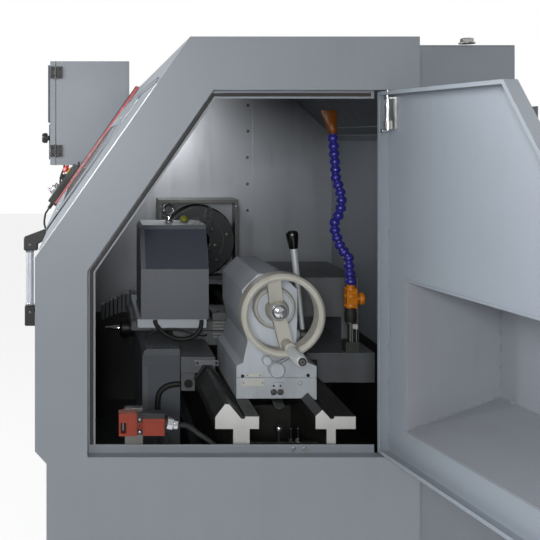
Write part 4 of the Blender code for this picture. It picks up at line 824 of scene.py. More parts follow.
def paint_nodes(frame: dict, palette: Palette) -> None:
    """Gives the CAD nodes their finishes.

    Args:
        frame: the loaded CAD frame.
        palette: the finishes.
    """
    for finish, nodes in NODE_FINISHES.items():
        for node in nodes:
            data = frame["nodes"][node].data
            data.materials.clear()
            data.materials.append(palette.get(finish))
            data.shade_smooth()
            data.set_sharp_from_angle(angle=math.radians(SHARP_ANGLE))


@dataclass
class EndFrame:
    """Seal and screws of the framed end opening, a bright strip along the end panel's edge that is a painted
    highlight, and the trims of the slanted front; the seal's brown is partly painted shade of the lips.
    """

    slope: Matrix
    end_x: float
    left_y: float = -0.477
    right_y: float = 0.256
    bottom_z: float = 0.815
    top_z: float = 1.675
    corner: Flat = (-0.182, 1.250)
    rebate: float = 0.029
    seal_height: float = 0.0026

    def seal(self) -> None:
        """Rubber seal on the left, chamfer and top lips, as flat as the closed door leaves it; its dark brown
        is partly a real seal and partly painted shade of the lips.
        """
        face = self.end_x - self.rebate
        inset, radius, lift, steps = 0.010, 0.0042, 0.0045, 12
        path = [
            (self.left_y + inset, self.bottom_z + 0.020),
            (self.left_y + inset, self.corner[1] - 0.004),
            (self.corner[0] + 0.004, self.top_z - inset),
            (self.right_y - 0.060, self.top_z - inset),
        ]
        points = []
        for (y0, z0), (y1, z1) in zip(path, path[1:]):
            for step in range(steps):
                share = step / steps
                points.append(Vector((face + lift, y0 + (y1 - y0) * share, z0 + (z1 - z0) * share)))
        points.append(Vector((face + lift, *path[-1])))
        flatten = Matrix.Diagonal((self.seal_height / (lift + radius), 1, 1, 1))
        # Dark brown strip on the lips: partly a real seal, partly painted shade standing for the shade on
        # these camera-facing lips.
        piece = Piece("opening_seal_and_lip_shade").sweep(points, radius, 10)
        piece.moved(Matrix.Translation((face, 0, 0)) @ flatten @ Matrix.Translation((-face, 0, 0)))
        piece.make("seal_rubber", Slot.RUBBER)

    def build(self) -> None:
        """Builds the seal, the lower lip's screws, a bright strip along the end panel's edge that is a
        painted highlight, and the red trim.
        """
        self.seal()
        lip = [(self.end_x - self.rebate, y, 0.8245) for y in (0.0125, 0.0395)]
        Piece("lip_screws").bolts(lip, RIGHT, 0.0052).make("steel", Slot.STEEL)
        # Bright strip on the slanted front's edge: a painted highlight standing for the light caught by the
        # panel's bent edge.
        edge = Piece("painted_edge_highlight")
        edge.block((self.end_x - 0.012, -0.004, GAP), (self.end_x - 0.003, 0.500, 0.0022))
        edge.moved(self.slope).make("white_rod", Slot.LIGHT)
        outline = flats(-20, 0.5, -18, 14, 622, 14, 626, 0.5)
        trim = Piece("red_trim").prism(outline, "X", -0.452, -0.424).moved(self.slope)
        trim.make("red_paint", Slot.RED, bevel=0.002)
        outline = flats(-22, 0.5, -20, 17.5, 622, 17.5, 628, 0.5)
        border = Piece("trim_edge").prism(outline, "X", -0.462, -0.4525).moved(self.slope)
        border.make("black_plastic", Slot.BLACK, bevel=0.001)


@dataclass
class EndDoor:
    """Welds and pocket rim of the end door, drawn closed and turned open, and its pin's spring."""

    hinge: Point = (1.340, 0.229, 0.0)
    angle: float = 101.8
    skin_x: float = 1.3555
    sheet: float = 0.003
    edge_y: float = 0.2465
    pocket_y: Flat = (-0.3535, 0.1715)
    pocket_z: Flat = (0.891, 1.2346)
    depth: float = 0.243
    rise: float = 0.062

    def opened(self, piece: Piece) -> Piece:
        """Turns a piece drawn on the closed door to the open door."""
        hinge = Matrix.Translation(self.hinge)
        return piece.moved(hinge @ Matrix.Rotation(math.radians(self.angle), 4, "Z") @ hinge.inverted())

    @staticmethod
    def bead(piece: Piece, start: Point, end: Point, radius: float = 0.0035, lumps: int = 5) -> None:
        """Adds one weld bead of overlapping lumps.

        Args:
            piece: the piece it is added to.
            start: first end.
            end: last end.
            radius: half its width.
            lumps: how many ripples.
        """
        count = lumps * 3
        sizes = []
        for step in range(count + 1):
            taper = min(1.0, 0.35 + 4 * min(step, count - step) / count)
            sizes.append(radius * (0.55, 1.0, 0.9)[step % 3] * taper)
        path = [Vector(start).lerp(Vector(end), step / count) for step in range(count + 1)]
        piece.sweep(path, sizes, 8)

    def pocket_welds(self) -> None:
        """Stitch welds along the pocket's lower and hinge-side inner edges."""
        piece = Piece("pocket_welds")
        near, far = self.pocket_y
        low, high = self.pocket_z
        back, side, floor = self.skin_x + self.depth - 0.004, far - 0.003, low + self.rise + 0.002
        for share in (0.10, 0.24, 0.38, 0.52, 0.66, 0.80, 0.92):
            z = floor + (high - floor) * share
            self.bead(piece, (back, side, z), (back, side, z + 0.016))
        for share in (0.08, 0.20, 0.32, 0.44, 0.56, 0.68, 0.80, 0.92):
            x = self.skin_x + (self.depth - 0.006) * share
            z = low + 0.003 + self.rise * share
            self.bead(piece, (x, side, z), (x + 0.014, side, z + 0.0036))
        for share in (0.1, 0.3, 0.5, 0.7, 0.9):
            y = near + (far - near) * share
            self.bead(piece, (back, y, floor), (back, y + 0.016, floor))
        self.opened(piece).make("weld", Slot.LIGHT, Body.END_DOOR)

    def channel_welds(self) -> None:
        """Spot welds down the hinge-side channel."""
        piece = Piece("channel_welds")
        x = self.skin_x - self.sheet
        spots = [(self.edge_y - 0.006, z, 0.012) for z in (1.548, 1.452, 1.332, 1.210, 1.062, 0.978, 0.850)]
        spots += [(self.hinge[1] - 0.0245, z, -0.010) for z in (1.640, 1.604)]
        for y, z, run in spots:
            self.bead(piece, (x, y, z), (x, y, z + run), 0.003, 4)
        self.opened(piece).make("weld", Slot.LIGHT, Body.END_DOOR)

    def pocket_rim(self) -> None:
        """Narrow folded rim round the pocket's mouth, flush with the skin's inner face."""
        (near, far), (low, high) = self.pocket_y, self.pocket_z
        x, wide, thick = self.skin_x - self.sheet, 0.004, 0.0016
        outer = (near - wide, low - wide, far + wide, high + wide)
        piece = Piece("pocket_rim").border(outer, (near, low, far, high), "X", x - thick, x)
        self.opened(piece).make("door_paint", Slot.LIGHT, Body.END_DOOR, bevel=0.0005)

    @staticmethod
    def spring() -> None:
        """Coil spring over the pin, drawn at a fixed length."""
        low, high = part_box("hinge_spring")
        turns, per_turn, wire, travel = 6, 24, 0.0009, 0.018
        middle = ((low.x + high.x) / 2, (low.y + high.y) / 2)
        mean = (high.x - low.x) / 2 - wire
        rise = (high.z - low.z) - 2 * wire
        count = turns * per_turn
        coil = []
        for step in range(count + 1):
            level = low.z + wire + rise * step / count
            coil.append(Vector((*polar(mean, 2 * math.pi * step / per_turn, middle), level)))
        made = Piece("pin_spring").sweep(coil, wire, 8).make("chrome", Slot.STEEL, Body.END_DOOR)
        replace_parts(made, "hinge_spring")
        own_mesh(made)

    def build(self) -> None:
        """Builds every piece of the end door."""
        self.pocket_welds()
        self.channel_welds()
        self.pocket_rim()
        self.spring()


@dataclass
class Bulkhead:
    """Seam and screws of the bright sheet behind the chuck, and the guard's screws."""

    seam_y: float = 0.2591
    screws: tuple[Flat, ...] = flats(
        238.5, 1710, 236, 1478, 236, 1243, 198, 1770, 284, 1775, 238.5, 1595, 236, 1360, -260, 1700,
        -460, 1400, -510, 1260,
    )

    def build(self) -> None:
        """Builds the overlapping rear sheet, the sheet screws and the guard's four screws."""
        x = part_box("bulkhead")[1].x + GAP
        overlap = Piece("bulkhead_overlap").block((x, self.seam_y, 0.92), (x + 0.0015, 0.600, 1.790))
        overlap.make("bulkhead_sheet", Slot.STAINLESS, bevel=0.0005)
        places = [(x, y, z) for y, z in self.screws]
        Piece("bulkhead_screws").bolts(places, RIGHT, 0.0065).make("dull_steel", Slot.STEEL)
        low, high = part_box("chuck_guard")
        levels = (low.z + 0.03, high.z - 0.03)
        places = [(high.x, y, z) for y in (low.y + 0.007, high.y - 0.007) for z in levels]
        Piece("guard_screws").bolts(places, RIGHT, 0.0045).make("steel", Slot.STEEL)


@dataclass
class Chuck:
    """Rings and bolts on the chuck's face, between the jaws."""

    jaw_angles: tuple[float, ...] = (72.0, 192.0, 312.0)
    rings: tuple[Flat, ...] = flats(44, 47, 98, 100, 141, 142.5)
    arc: Flat = (14.0, 106.0)

    def build(self) -> None:
        """Builds the ring arcs and the bolts."""
        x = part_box("chuck_body")[1].x + GAP
        centre, steps = (0.0, AXIS_Z), 16
        rings, bolts = Piece("chuck_rings"), Piece("chuck_bolts")
        start, end = self.arc
        for jaw in self.jaw_angles:
            turns = [math.radians(jaw + start + (end - start) * step / steps) for step in range(steps + 1)]
            for inner, outer in self.rings:
                outline = [polar(inner, turn, centre) for turn in turns]
                outline += [polar(outer, turn, centre) for turn in reversed(turns)]
                rings.prism(outline, "X", x, x + 0.0013)
            for turn, radius in ((60, 0.118), (30, 0.070), (90, 0.070)):
                bolts.bolt((x, *polar(radius, math.radians(jaw + turn), centre)), RIGHT, 0.0095)
        for piece in (rings, bolts):
            piece.make("dull_steel", Slot.STEEL, Body.SPINDLE)


@dataclass
class Tailstock:
    """Fittings of the tailstock: plates, plug, clamp, dial, shaft nut and the lock lever."""

    lever_foot: Point = (0.965, 0.128, 1.010)
    lever_lean: Point = (0.0, -0.026, 0.240)
    crank_radius: float = 0.083
    crank_angle: float = -79.0

    def plates(self, x: float) -> None:
        """Two blank name plates held by rivets."""
        plates, rivets, thick = Piece("tailstock_plates"), Piece("plate_rivets"), 0.0012
        for low_y, high_y, low_z, high_z in (
            (-0.062, -0.023, 0.9375, 0.9475), (-0.073, -0.015, 0.9128, 0.9324),
        ):
            plates.block((x, low_y, low_z), (x + thick, high_y, high_z))
            for y in (low_y + 0.004, high_y - 0.004):
                rivets.bolt((x + thick, y, (low_z + high_z) / 2), RIGHT, 0.0017)
        plates.make("white_plate", Slot.LIGHT, Body.TAILSTOCK, bevel=0.0003)
        rivets.make("dull_steel", Slot.STEEL, Body.TAILSTOCK)

    def plug(self, x: float) -> None:
        """Round painted plug and bosses over the seam, with a chrome stub and screws beside them."""
        plug = Piece("tailstock_plug")
        plug.turned(flats(0, 0, 20, 0, 20, 27, 18, 30, 0, 30), (x, 0.0133, 0.9620), steps=40)
        plug.turned(flats(0, 0, 12, 0, 12, 14, 10, 16, 0, 16), (x, -0.0100, 0.9830), steps=28)
        plug.turned(flats(0, 0, 6, 0, 5, 3, 2, 5, 0, 5.5), (x, 0.0792, 0.9215), steps=20)
        plug.make("cast_paint", Slot.CAST, Body.TAILSTOCK)
        stub = Piece("locking_stub").rod((x + 0.012, 0.012, 0.9740), (x + 0.012, 0.046, 0.9930), 0.0050)
        stub.make("chrome", Slot.STEEL, Body.TAILSTOCK)
        screws = Piece("tailstock_screws")
        for place in ((x, -0.0713, 0.9400), (x, 0.1000, 0.9420)):
            screws.turned(hoop(0.0022, 0.0045, 0.0008), place, steps=18, ring=True)
            screws.turned(flats(0, 0, 2.2, 0, 0, 0.2), place, steps=12)
        screws.make("black_plastic", Slot.BLACK, Body.TAILSTOCK)

    def clamp(self, x: float) -> None:
        """Clamp plate with two hexagon bolts and the tongue under it."""
        plate = Piece("clamp_plate").block((x, 0.0030, 0.8827), (x + 0.005, 0.0345, 0.9246))
        plate.make("cast_paint", Slot.CAST, Body.TAILSTOCK, bevel=0.001)
        bolts, pins = Piece("clamp_bolts"), Piece("clamp_pins")
        for y in (0.0090, 0.0265):
            bolts.bolt((x + 0.005, y, 0.9000), RIGHT, 0.0068, hexagon=True)
            pins.rod((x + 0.005, y, 0.9160), (x + 0.0058, y, 0.9160), 0.0028, 14)
        bolts.make("dull_steel", Slot.STEEL, Body.TAILSTOCK, bevel=0.0006)
        pins.make("black_plastic", Slot.BLACK, Body.TAILSTOCK)
        radius, length, steps = 0.014, 0.036, 12
        outline = [(0.0, -radius), (0.0, radius)]
        for step in range(steps + 1):
            outline.append(polar(radius, math.pi / 2 - math.pi * step / steps, (length, 0.0)))
        lean = Matrix.Rotation(math.radians(14), 4, "Y")
        tongue = Piece("clamp_tongue").prism(outline, "Z", -0.003, 0.0)
        tongue.moved(Matrix.Translation((x - 0.010, 0.0187, 0.8800)) @ lean)
        tongue.make("dull_steel", Slot.STEEL, Body.TAILSTOCK, bevel=0.0006)

    @staticmethod
    def dial(x: float) -> None:
        """Graduated ring behind the handwheel, with its tick marks."""
        profile = flats(45.4, 0, 52, 0, 53.5, 3, 53.5, 17, 50, 22, 45.4, 22)
        ring = Piece("handwheel_dial").turned(profile, (x, 0, AXIS_Z), steps=56, ring=True)
        ring.make("wheel_paint_dirt_and_shade", Slot.CAST, Body.TAILSTOCK)
        ticks, count, end = Piece("dial_ticks"), 50, 0.0165
        turn = Matrix.Rotation(2 * math.pi / count, 4, "X")
        for step in range(count):
            length = 0.0065 if step % 5 else 0.0105
            ticks.block((end - length, 0.0534, -0.0003), (end, 0.0538, 0.0003)).moved(turn)
        ticks.moved(Matrix.Translation((x, 0, AXIS_Z))).make("black_plastic", Slot.BLACK, Body.TAILSTOCK)

    def hub(self, x: float) -> None:
        """Domed chrome nut at the handwheel's hub, and the screw in the crank handle's end, set on a black
        disc that is painted shade of the handle end's recess.
        """
        radius, steps = 0.0180, 8
        dome = [(0, 0), (0.0215, 0), (0.0215, 0.002), (radius, 0.002)]
        for step in range(steps + 1):
            a = math.pi / 2 * step / steps
            dome.append((radius * math.cos(a), 0.004 + 0.0095 * math.sin(a)))
        nut = Piece("shaft_nut").turned(dome, (x, 0, AXIS_Z), steps=40)
        nut.make("chrome", Slot.STEEL, Body.WHEEL)
        y, z = polar(self.crank_radius, math.radians(self.crank_angle), (0.0, AXIS_Z))
        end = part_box("crank_handle")[1].x + GAP
        # Black disc on the handle's end: painted shade standing for the dark hollow of its recess.
        recess = Piece("crank_recess_shade").rod((end, y, z), (end + 0.0012, y, z), 0.0098, 28)
        recess.make("black_plastic", Slot.BLACK, Body.CRANK)
        screw = Piece("crank_screw")
        screw.turned(hoop(0.0028, 0.0058, 0.0012), (end + 0.0014, y, z), steps=20, ring=True)
        screw.make("dull_steel", Slot.STEEL, Body.CRANK)

    def lever(self) -> None:
        """Lock lever: dark hub, tapered white rod and a gloss black knob."""
        foot = Vector(self.lever_foot)
        along = Vector(self.lever_lean).normalized()
        rise = Vector(self.lever_lean).z
        profile = flats(0, 0, 16, 0, 18, 2, 18, 21, 15, 23.5, 0, 23.5)
        hub = Piece("lever_hub").turned(profile, (foot.x, foot.y - 0.0117, foot.z), REAR)
        hub.make("dull_steel", Slot.STEEL, Body.LEVER)
        profile = [(0, 0), (0.0062, 0), (0.0070, 0.06), (0.0098, rise - 0.01), (0.0098, rise), (0, rise)]
        rod = Piece("lever_rod").turned(profile, tuple(foot + along * 0.004), tuple(along), 24)
        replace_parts(rod.make("white_rod", Slot.STEEL, Body.LEVER), "lock_lever")
        profile = flats(0, 0, 11.5, 0, 12.2, 1, 16.8, 34, 17.2, 38, 16.6, 43, 14, 47.5, 8, 50, 0, 50.5)
        knob = Piece("lever_knob").turned(profile, tuple(foot + along * (rise + 0.0042)), tuple(along), 32)
        knob.make("gloss_black", Slot.BLACK, Body.LEVER)

    def build(self) -> None:
        """Builds every fitting of the tailstock."""
        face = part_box("tailstock_base")[1].x
        self.plates(face + GAP)
        self.plug(face + GAP)
        self.clamp(face + GAP)
        self.dial(face + 0.0373)
        self.hub(face + 0.1065)
        self.lever()


@dataclass
class Bed:
    """Painted end faces of the rails, and the bolts that stand on the bed's first rib."""

    way_z: float = 0.880
    web_bottom: float = 0.745
    rail_depth: float = 0.031
    rib: Flat = (1.1774, 0.7903)

    def end_faces(self) -> None:
        """Thin painted faces on the ends of both rails, in the rails' own section."""
        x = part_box("bed")[1].x + GAP
        low = self.way_z - self.rail_depth
        groove = self.way_z - 0.006
        front = [
            (-0.1637, 0.8783), (-0.1398, 0.9097), (-0.1292, 0.9097), (-0.1023, 0.8770), (-0.100, groove),
            (-0.092, groove), (-0.0898, 0.8797), (-0.0563, 0.8797), (-0.0563, low), (-0.0793, low),
            (-0.0793, self.web_bottom), (-0.1197, self.web_bottom), (-0.1197, low), (-0.1637, low),
        ]
        rear = [
            (0.0823, 0.8807), (0.0990, 0.8957), (0.1157, 0.8780), (0.118, groove), (0.1266, groove),
            (0.1290, 0.8797), (0.1807, 0.8797), (0.1807, low), (0.1317, low), (0.1317, self.web_bottom),
            (0.1093, self.web_bottom), (0.1093, low), (0.0823, low),
        ]
        piece = Piece("rail_ends")
        for outline in (front, rear):
            piece.prism(outline, "X", x, x + 0.0010)
        piece.make("rail_end", Slot.CAST, bevel=0.0004)

    def build(self) -> None:
        """Builds the rails' end faces, the socket bolt and two studs."""
        self.end_faces()
        x, top = self.rib
        bolt = Piece("bed_bolt").rod((x, 0.0108, top), (x, 0.0108, 0.819), 0.0035)
        profile = flats(0, 0, 11, 0, 11, 6, 9.5, 10, 4.5, 10, 4.5, 5, 0, 5)
        bolt.turned(profile, (x, 0.0108, 0.818), UP, 28).make("steel", Slot.STEEL)
        studs = Piece("bed_studs")
        for y in (0.0420, 0.0600):
            studs.bolt((x, y, top), UP, 0.0085, hexagon=True)
            studs.rod((x, y, top + 0.004), (x, y, 0.824), 0.0045, 16)
        studs.make("chuck_steel", Slot.STEEL)


@dataclass
class Carriage:
    """Details of saddle, apron, cross slide and sheet hood, and the cables under the hood."""

    cable_x: float = 0.8080
    wing_x: float = 0.9235
    eye: Flat = (0.660, -0.2186)
    rib_y: Flat = (-0.085, 0.104)

    def eyebolt(self) -> None:
        """Lifting eye with its collar on the hood's roof, and a small cap beside it."""
        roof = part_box("turret_cover")[1].z
        profile = flats(0, 0, 13, 0, 13, 5, 7.5, 9, 6, 20, 0, 20)
        eye = Piece("hood_eyebolt").turned(profile, (*self.eye, roof + GAP), UP, 28)
        middle = Vector((*self.eye, roof + 0.040))
        heading, steps, radius = math.radians(52), 40, 0.0175
        side = Vector((math.cos(heading), math.sin(heading), 0))
        loop = []
        for step in range(steps + 1):
            across, up = polar(radius, 2 * math.pi * step / steps)
            loop.append(middle + side * across + Vector(UP) * up)
        eye.sweep(loop, 0.0048, 12).make("chrome", Slot.STEEL, Body.CROSS)
        profile = flats(0, 0, 13.5, 0, 13.5, 6, 10, 13, 5, 16, 0, 16)
        cap = Piece("hood_cap").turned(profile, (0.605, -0.1640, roof + GAP), UP, 24)
        cap.make("cap_yellow", Slot.ORANGE, Body.CROSS)

    @staticmethod
    def hood() -> None:
        """Dark upper slope of the hood, and the screws along its lower edges."""
        low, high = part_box("turret_cover")
        shoulder, setback, thick = low.z + 0.149, 0.062, 0.0006
        run = Vector((-setback, high.z - shoulder)).normalized()
        out = Vector((run.y, -run.x))
        start = Vector((high.x, shoulder)) + run * 0.001 + out * GAP
        end = Vector((high.x - setback, high.z)) - run * 0.0135 + out * GAP
        outline = [tuple(start), tuple(end), tuple(end + out * thick), tuple(start + out * thick)]
        slope = Piece("hood_slope").prism(outline, "Y", low.y + 0.014, high.y - 0.001)
        slope.make("cover_dark", Slot.DARK, Body.CROSS)
        screws = Piece("hood_screws")
        for y, axis in ((low.y - GAP, FRONT), (high.y + GAP, REAR)):
            screws.bolts([(x, y, low.z + 0.018) for x in (0.62, 0.70, 0.77)], axis, 0.005)
        screws.make("dull_steel", Slot.STEEL, Body.CROSS)

    def loops(self) -> None:
        """Hose and thin cable hanging in loops under the hood's right face."""
        hose = points(
            -1, -274, 1017, 0, -272, 1006, 0, -259.5, 990, 1, -240.6, 974, 1, -214.6, 963, 1, -190.9, 960.5,
            1, -169, 964, 0, -151, 974.5, -1, -140, 989, -1, -135.5, 1004, -1, -135, 1017,
        )
        cable = points(
            -4, -306, 962, -3, -298.5, 971.5, -3, -282, 981, -3, -260, 987.5, -3, -233, 989.5,
            -3, -205.6, 987, -3, -180, 981, -4, -155, 973.5, -10, -130, 968, -30, -115, 966,
        )
        for name, route, radius, finish in (
            ("hood_hose", hose, 0.0066, "black_rubber"), ("hood_cable", cable, 0.0024, "cable_rubber"),
        ):
            path = smooth_route([(self.cable_x + x, y, z) for x, y, z in route], 40)
            made = Piece(name).sweep(path, radius, 12).make(finish, Slot.RUBBER, Body.CROSS)

    def slide_edges(self) -> None:
        """Ribbed gib strips on the right faces of saddle and cross slide, and a plate on the slide."""
        low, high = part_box("cross_slide")
        x, (front, rear) = high.x + GAP, self.rib_y
        for name, rises, body in (
            ("slide_ribs", (0.0035, 0.0135, 0.0235), Body.CROSS),
            ("saddle_ribs", (-0.0215, -0.0115), Body.CARRIAGE),
        ):
            ribs = Piece(name)
            for rise in rises:
                ribs.block((x, front, low.z + rise), (x + 0.0032, rear, low.z + rise + 0.0068))
            ribs.make("rib_metal", Slot.STEEL, body, bevel=0.0008)
        top = high.z + GAP
        plate = Piece("slide_plate").block((0.600, front, top), (0.697, 0.060, high.z + 0.0250))
        plate.make("slide_paint", Slot.DARK, Body.CROSS, bevel=0.0015)
        places = [(0.680, y, top + 0.0250) for y in (-0.065, -0.020, 0.025)]
        Piece("slide_screws").bolts(places, UP, 0.005).make("dull_steel", Slot.STEEL, Body.CROSS)

    def wing(self) -> None:
        """Wiper plate with its rubber on the front wing, the gib block under it with a black disc that is
        painted shade of its hole, and the rear wiper.
        """
        x = self.wing_x + GAP
        plate = Piece("wiper_plate").block((x, -0.1710, 0.9125), (x + 0.003, -0.1015, 0.9290))
        plate.make("steel_plate", Slot.STEEL, Body.CARRIAGE, bevel=0.0008)
        outline = flats(
            -176, 874, -148, 916, -122, 916, -93, 872, -101.8, 878.5, -128.7, 911.5, -140.3, 911.5,
            -164.5, 880,
        )
        rubber = Piece("way_wiper").prism(outline, "X", x + 0.0033, x + 0.0073)
        rubber.make("black_rubber", Slot.RUBBER, Body.CARRIAGE, bevel=0.0008)
        places = [(x + 0.003, y, 0.9210) for y in (-0.1630, -0.1090)]
        Piece("wiper_screws").bolts(places, RIGHT, 0.0036).make("black_plastic", Slot.BLACK, Body.CARRIAGE)
        block = Piece("gib_block").block((0.860, -0.2070, 0.8345), (0.905, -0.1665, 0.8915))
        block.make("slide_paint", Slot.DARK, Body.CARRIAGE, bevel=0.0015)
        # Black disc on the gib block's face: painted shade of a hole.
        hole = Piece("gib_hole_shade").turned(disc(0.0125, 0.0008), (0.905 + GAP, -0.1860, 0.8560))
        hole.make("black_plastic", Slot.BLACK, Body.CARRIAGE)
        rear = Piece("rear_wiper").block((x, 0.1530, 0.8835), (x + 0.004, 0.1790, 0.9300))
        rear.make("black_rubber", Slot.RUBBER, Body.CARRIAGE, bevel=0.001)

    @staticmethod
    def apron() -> None:
        """Lighter right face of the apron, screws on its top, and the dark seal beside it."""
        low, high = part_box("apron")
        x = high.x + GAP
        face = Piece("apron_face")
        face.block((x, low.y + 0.016, low.z + 0.022), (x + 0.0012, high.y - 0.002, high.z - 0.0500))
        face.block((x, low.y + 0.004, high.z - 0.0488), (x + 0.0012, high.y - 0.002, high.z - 0.0170))
        face.make("apron_paint", Slot.DARK, Body.CARRIAGE, bevel=0.0005)
        places = [(at, y, high.z + GAP) for at in (0.56, 0.66, 0.76, 0.86) for y in (-0.290, -0.235)]
        Piece("apron_screws").bolts(places, UP, 0.0055).make("dull_steel", Slot.STEEL, Body.CARRIAGE)
        route = flats(-270, 745, -274.5, 785, -273.2, 819.8, -265, 837, -250.1, 848.7, -230, 855, -211, 856)
        path = smooth_route([(x + 0.0090, y, z) for y, z in route], 30)
        Piece("apron_seal").sweep(path, 0.0080, 12).make("black_rubber", Slot.RUBBER, Body.CARRIAGE)

    @staticmethod
    def drive() -> None:
        """Black stepped drive of the cross screw on the saddle's front, its tip, and the cable carrier."""
        start = (0.460, -0.2098, 0.9153)
        profile = flats(
            0, 0, 40, 0, 40, 12, 34, 12, 34, 60, 31, 62, 31, 88, 34, 90, 34, 112, 28, 114, 28, 124, 33, 126,
            33, 150, 24, 156, 10, 158, 0, 158,
        )
        drum = Piece("cross_drive").turned(profile, start, FRONT, 40)
        drum.make("black_plastic", Slot.BLACK, Body.CARRIAGE)
        profile = flats(0, 158.3, 9, 158.3, 8.5, 168, 4, 205, 0, 207)
        Piece("drive_tip").turned(profile, start, FRONT, 24).make("chrome", Slot.STEEL, Body.CARRIAGE)
        links, count = Piece("cable_carrier"), 9
        for step in range(count):
            share = step / (count - 1)
            y = -0.428 + 0.116 * share
            top = 0.972 + 0.058 * math.sin(math.radians(8 + 62 * share))
            links.block((0.336, y, top - 0.050 - 0.012 * share), (0.400, y + 0.0125, top))
        links.make("carrier_grey", Slot.DARK, Body.CARRIAGE, bevel=0.0015)

    def build(self) -> None:
        """Builds every detail of the carriage."""
        self.eyebolt()
        self.hood()
        self.loops()
        self.slide_edges()
        self.wing()
        self.apron()
        self.drive()


@dataclass
class Coolant:
    """Segmented hose, valve bands, the fittings under the valve, and a black slit on the nozzle's top that is
    painted shade of its mouth.
    """

    place: Flat = (0.9035, 0.281)
    route: tuple[Flat, ...] = flats(
        281, 1140.6, 281, 1152, 277.5, 1186, 273.5, 1222, 256, 1242, 246, 1266, 237, 1292, 235.2, 1318,
        246.2, 1341, 254, 1370, 253.5, 1395, 246.5, 1423, 238.5, 1449, 237.4, 1472, 236, 1493, 233.6, 1516,
        232, 1538, 230, 1558, 229.8, 1575,
    )
    segments: int = 20
    swell: tuple[float, ...] = (0.0094, 0.0128, 0.0148, 0.0153, 0.0152, 0.0146, 0.0120, 0.0098)

    def hose(self) -> None:
        """Ball and socket segments along the hose's route."""
        waves = len(self.swell)
        path = smooth_route([(self.place[0], y, z) for y, z in self.route], self.segments * waves + 1)
        sizes = [self.swell[index % waves] for index in range(len(path))]
        skin = Piece("segmented_hose").sweep(path, sizes, 20)
        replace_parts(skin.make("hose_blue", Slot.BLUE, Body.CARRIAGE, smooth=40), "coolant_hose")

    def build(self) -> None:
        """Builds the coolant line's details."""
        self.hose()
        x, y = self.place
        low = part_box("coolant_valve")[0].z
        bands = Piece("valve_bands")
        for z, size in ((low + 0.003, 0.0185), (low + 0.050, 0.0165)):
            profile = [
                (0.0100, 0), (size, 0), (size + 0.001, 0.002),
                (size + 0.001, 0.006), (size, 0.008), (0.0100, 0.008),
            ]
            bands.turned(profile, (x, y, z), UP, 28, ring=True)
        bands.make("valve_orange", Slot.ORANGE, Body.CARRIAGE)
        profile = flats(8.5, 0, 15, 0, 16.5, 3, 16.5, 26, 15, 29, 15, 40, 8.5, 40)
        union = Piece("valve_union").turned(profile, (x, y, low - 0.0408), UP, 28, ring=True)
        union.make("black_rubber", Slot.RUBBER, Body.CARRIAGE)
        lug = Piece("pipe_lug").block((x + 0.0090, y + 0.001, 1.0165), (x + 0.0190, y + 0.0150, 1.0300))
        lug.make("white_plate", Slot.LIGHT, Body.CARRIAGE, bevel=0.001)
        pipes = Piece("twin_pipes")
        for offset in (0.0015, 0.0130):
            pipes.rod((x + 0.0125, y + offset, 0.9495), (x + 0.0125, y + offset, 1.0160), 0.0034, 16)
        pipes.make("chrome", Slot.STEEL, Body.CARRIAGE)
        low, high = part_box("hose_nozzle")
        middle = (low.y + high.y) / 2
        # Thin black block on the nozzle's top: painted shade standing for the dark opening of its mouth.
        mouth = Piece("nozzle_mouth_shade")
        mouth.block((x - 0.0016, middle - 0.021, high.z + GAP), (x + 0.0016, middle + 0.021, high.z + 0.0008))
        mouth.make("black_plastic", Slot.BLACK, Body.CARRIAGE)


